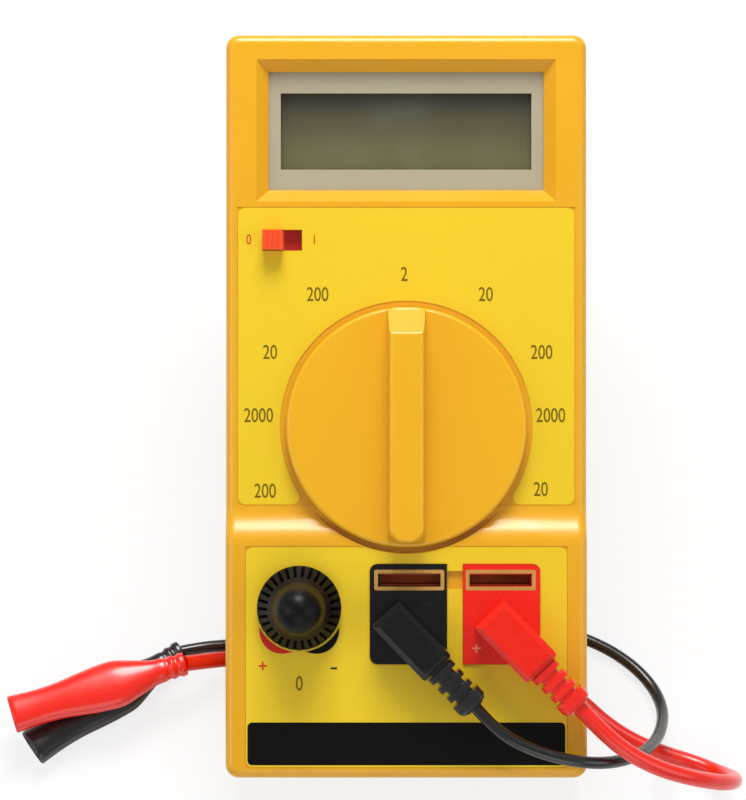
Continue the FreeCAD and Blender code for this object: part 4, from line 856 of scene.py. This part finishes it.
class METER_OT_boots(bpy.types.Operator):
    """The soft vinyl boots over the clips, open at the nose"""

    bl_idname = "meter.boots"
    bl_label = "Clip boots"

    def execute(self, context):
        wall = choices().boot_wall / MM
        outside = smooth_profile(BOOT_PROFILE, BOOT_STEPS)
        inside = [(x, half - wall, depth - wall) for x, half, depth in outside[BOOT_SOLID * BOOT_STEPS :]]
        stops = outside + BOOT_LIP + inside[::-1]
        for side, heading in CLIP_HEADING.items():

            def build(form):
                skin_rings(form, [section(*stop) for stop in stops])

            mesh = mesh_from(f"{side}_vinyl_boot", build)
            neck = Vector(LEADS[side]["points"][-1])
            mesh.transform(Matrix.Translation(neck) @ Matrix.Rotation(heading, 4, "Z"))
            boot = add_piece(f"{side}_vinyl_boot", mesh, f"{side}_vinyl", body=None)
            self.bend(boot, side, neck, heading)
            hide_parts(f"{side}_clip_boot")
        return {"FINISHED"}

    def bend(self, boot, side, neck, heading):
        """Bakes the boot's placement into its mesh."""
        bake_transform(boot)


class METER_OT_cords(bpy.types.Operator):
    """Gathers the pieces on each lead, and does nothing more with them"""

    bl_idname = "meter.cords"
    bl_label = "Cords"

    def execute(self, context):
        for side, facts in LEADS.items():
            on_lead = [bpy.data.objects[f"{side}_{name}"] for name in ("vinyl_boot", "relief")]
            on_lead += [frame["nodes"][f"{side}_{name}"] for name in ("clip_base", "clip_jaw")]
        return {"FINISHED"}


class METER_OT_finishes(bpy.types.Operator):
    """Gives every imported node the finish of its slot"""

    bl_idname = "meter.finishes"
    bl_label = "Finishes"

    def execute(self, context):
        slots = {part["node"]: part["material_slot"] for part in frame["record"]["subparts"]}
        for node, item in frame["nodes"].items():
            material = finish_named(NODE_FINISHES.get(node, slots[node]))
            if not item.material_slots:
                item.data.materials.append(material)
            for place in item.material_slots:
                place.link = "OBJECT"
                place.material = material
        return {"FINISHED"}


class METER_OT_seam(bpy.types.Operator):
    """The shadow line where the two halves of the case meet"""

    bl_idname = "meter.seam"
    bl_label = "Case seam"

    def execute(self, context):
        outside, inside = self.outline(0.02), self.outline(-0.1)
        level, thick = SPLIT_LEVEL - 0.15, 0.3
        front_plate("case_seam", outside, level, "seam_shadow", hole=inside, thick=thick)
        return {"FINISHED"}

    def outline(self, proud):
        """The case's outline in plan, moved outwards by a distance."""
        across = HALF_WIDTH + proud
        return rounded_rectangle((-across, -proud), (across, LENGTH + proud), CORNER + proud)


class METER_OT_figures(bpy.types.Operator):
    """Plain numbers round the selector, marks at the switch, and a painted shade on the switch's shoe"""

    bl_idname = "meter.figures"
    bl_label = "Selector figures"

    def execute(self, context):
        height = choices().figure_height
        for index, (text, x, y) in enumerate(SCALE_FIGURES):
            lettering(f"scale_figure_{index}", text, x, y, UPPER_LABEL_TOP, height, "ink")
        for name, text, x in (("switch_mark_off", "0", -38.4), ("switch_mark_on", "1", -22.4)):
            lettering(name, text, x, 130.9, UPPER_LABEL_TOP, height * 0.7, "red_ink")
        # Painted shade: a dark red plate on the shoe's face stands in for the slot's shadow; it rides
        # with the switch.
        shoe = [(-29.6, 128.4), (-25.7, 128.4), (-25.7, 133.3), (-29.6, 133.3)]
        slot, body = "switch_red", "switch_button"
        front_plate("switch_shoe_painted_shade", shoe, SHOE_TOP, "switch_painted_shade", body=body)
        return {"FINISHED"}


# The zero adjuster's middle, and the inner and outer radius of its crescents.
ZERO = (-26.0, 41.5)
CRESCENT = (10.8, 12.6)


class METER_OT_zero_marks(bpy.types.Operator):
    """The plus and minus crescents and the figure under the zero adjuster"""

    bl_idname = "meter.zero_marks"
    bl_label = "Zero adjuster marks"

    def execute(self, context):
        level = LOWER_LABEL_TOP
        front_plate("crescent_plus", crescent(ZERO, *CRESCENT, 206, 262), level, "red_ink")
        front_plate("crescent_minus", crescent(ZERO, *CRESCENT, 278, 334), level, "black_ink")
        lettering("mark_plus", "+", -34.9, 27.1, level, 4.4 * MM, "red_ink", 1.0)
        lettering("mark_minus", "-", -17.6, 27.1, level, 4.4 * MM, "black_ink", 1.4)
        lettering("mark_zero", "0", -26.0, 22.9, level, 5.0 * MM, "ink")
        return {"FINISHED"}


class METER_OT_terminal_marks(bpy.types.Operator):
    """Tan outlines of the component slots and the plus at the red terminal"""

    bl_idname = "meter.terminal_marks"
    bl_label = "Terminal marks"

    def execute(self, context):
        for name, left, right in (("black", -7.8, 9.2), ("red", 14.4, 31.4)):
            outer = rounded_rectangle((left, 45.7), (right, 50.7), 0.5)
            inner = rounded_rectangle((left + 0.9, 46.6), (right - 0.9, 49.8), 0.2)
            front_plate(f"slot_outline_{name}", outer, BLOCK_TOP, "tan_ink", hole=inner)
        lettering("terminal_plus", "+", 17.0, 31.4, BLOCK_TOP, 4.2 * MM, "pale_ink", 1.0)
        return {"FINISHED"}


class METER_OT_strip(bpy.types.Operator):
    """The bare black band along the foot of the lower overlay"""

    bl_idname = "meter.strip"
    bl_label = "Foot band"

    def execute(self, context):
        outline = rounded_rectangle((-38.6, 3.2), (38.6, 13.6), 1.2)
        front_plate("foot_band", outline, LOWER_LABEL_TOP, "black_ink")
        return {"FINISHED"}


STEPS = (
    "stage",
    "leads",
    "reliefs",
    "boots",
    "cords",
    "finishes",
    "seam",
    "figures",
    "zero_marks",
    "terminal_marks",
    "strip",
)


class METER_PT_panel(bpy.types.Panel):
    bl_label = "Capacitance Meter"
    bl_idname = "METER_PT_panel"
    bl_space_type = "VIEW_3D"
    bl_region_type = "UI"
    bl_category = "Meter"

    def draw(self, context):
        for name in MeterSettings.__annotations__:
            self.layout.prop(context.scene.meter, name)
        for step in STEPS:
            self.layout.operator(f"meter.{step}")


CLASSES = (
    MeterSettings,
    METER_OT_stage,
    METER_OT_leads,
    METER_OT_reliefs,
    METER_OT_boots,
    METER_OT_cords,
    METER_OT_finishes,
    METER_OT_seam,
    METER_OT_figures,
    METER_OT_zero_marks,
    METER_OT_terminal_marks,
    METER_OT_strip,
    METER_PT_panel,
)


def register():
    for item in CLASSES:
        bpy.utils.register_class(item)
    bpy.types.Scene.meter = PointerProperty(type=MeterSettings)


def unregister():
    del bpy.types.Scene.meter
    for item in reversed(CLASSES):
        bpy.utils.unregister_class(item)


def main():
    register()
    for step in STEPS:
        getattr(bpy.ops.meter, step)()


if __name__ == "__main__":
    main()
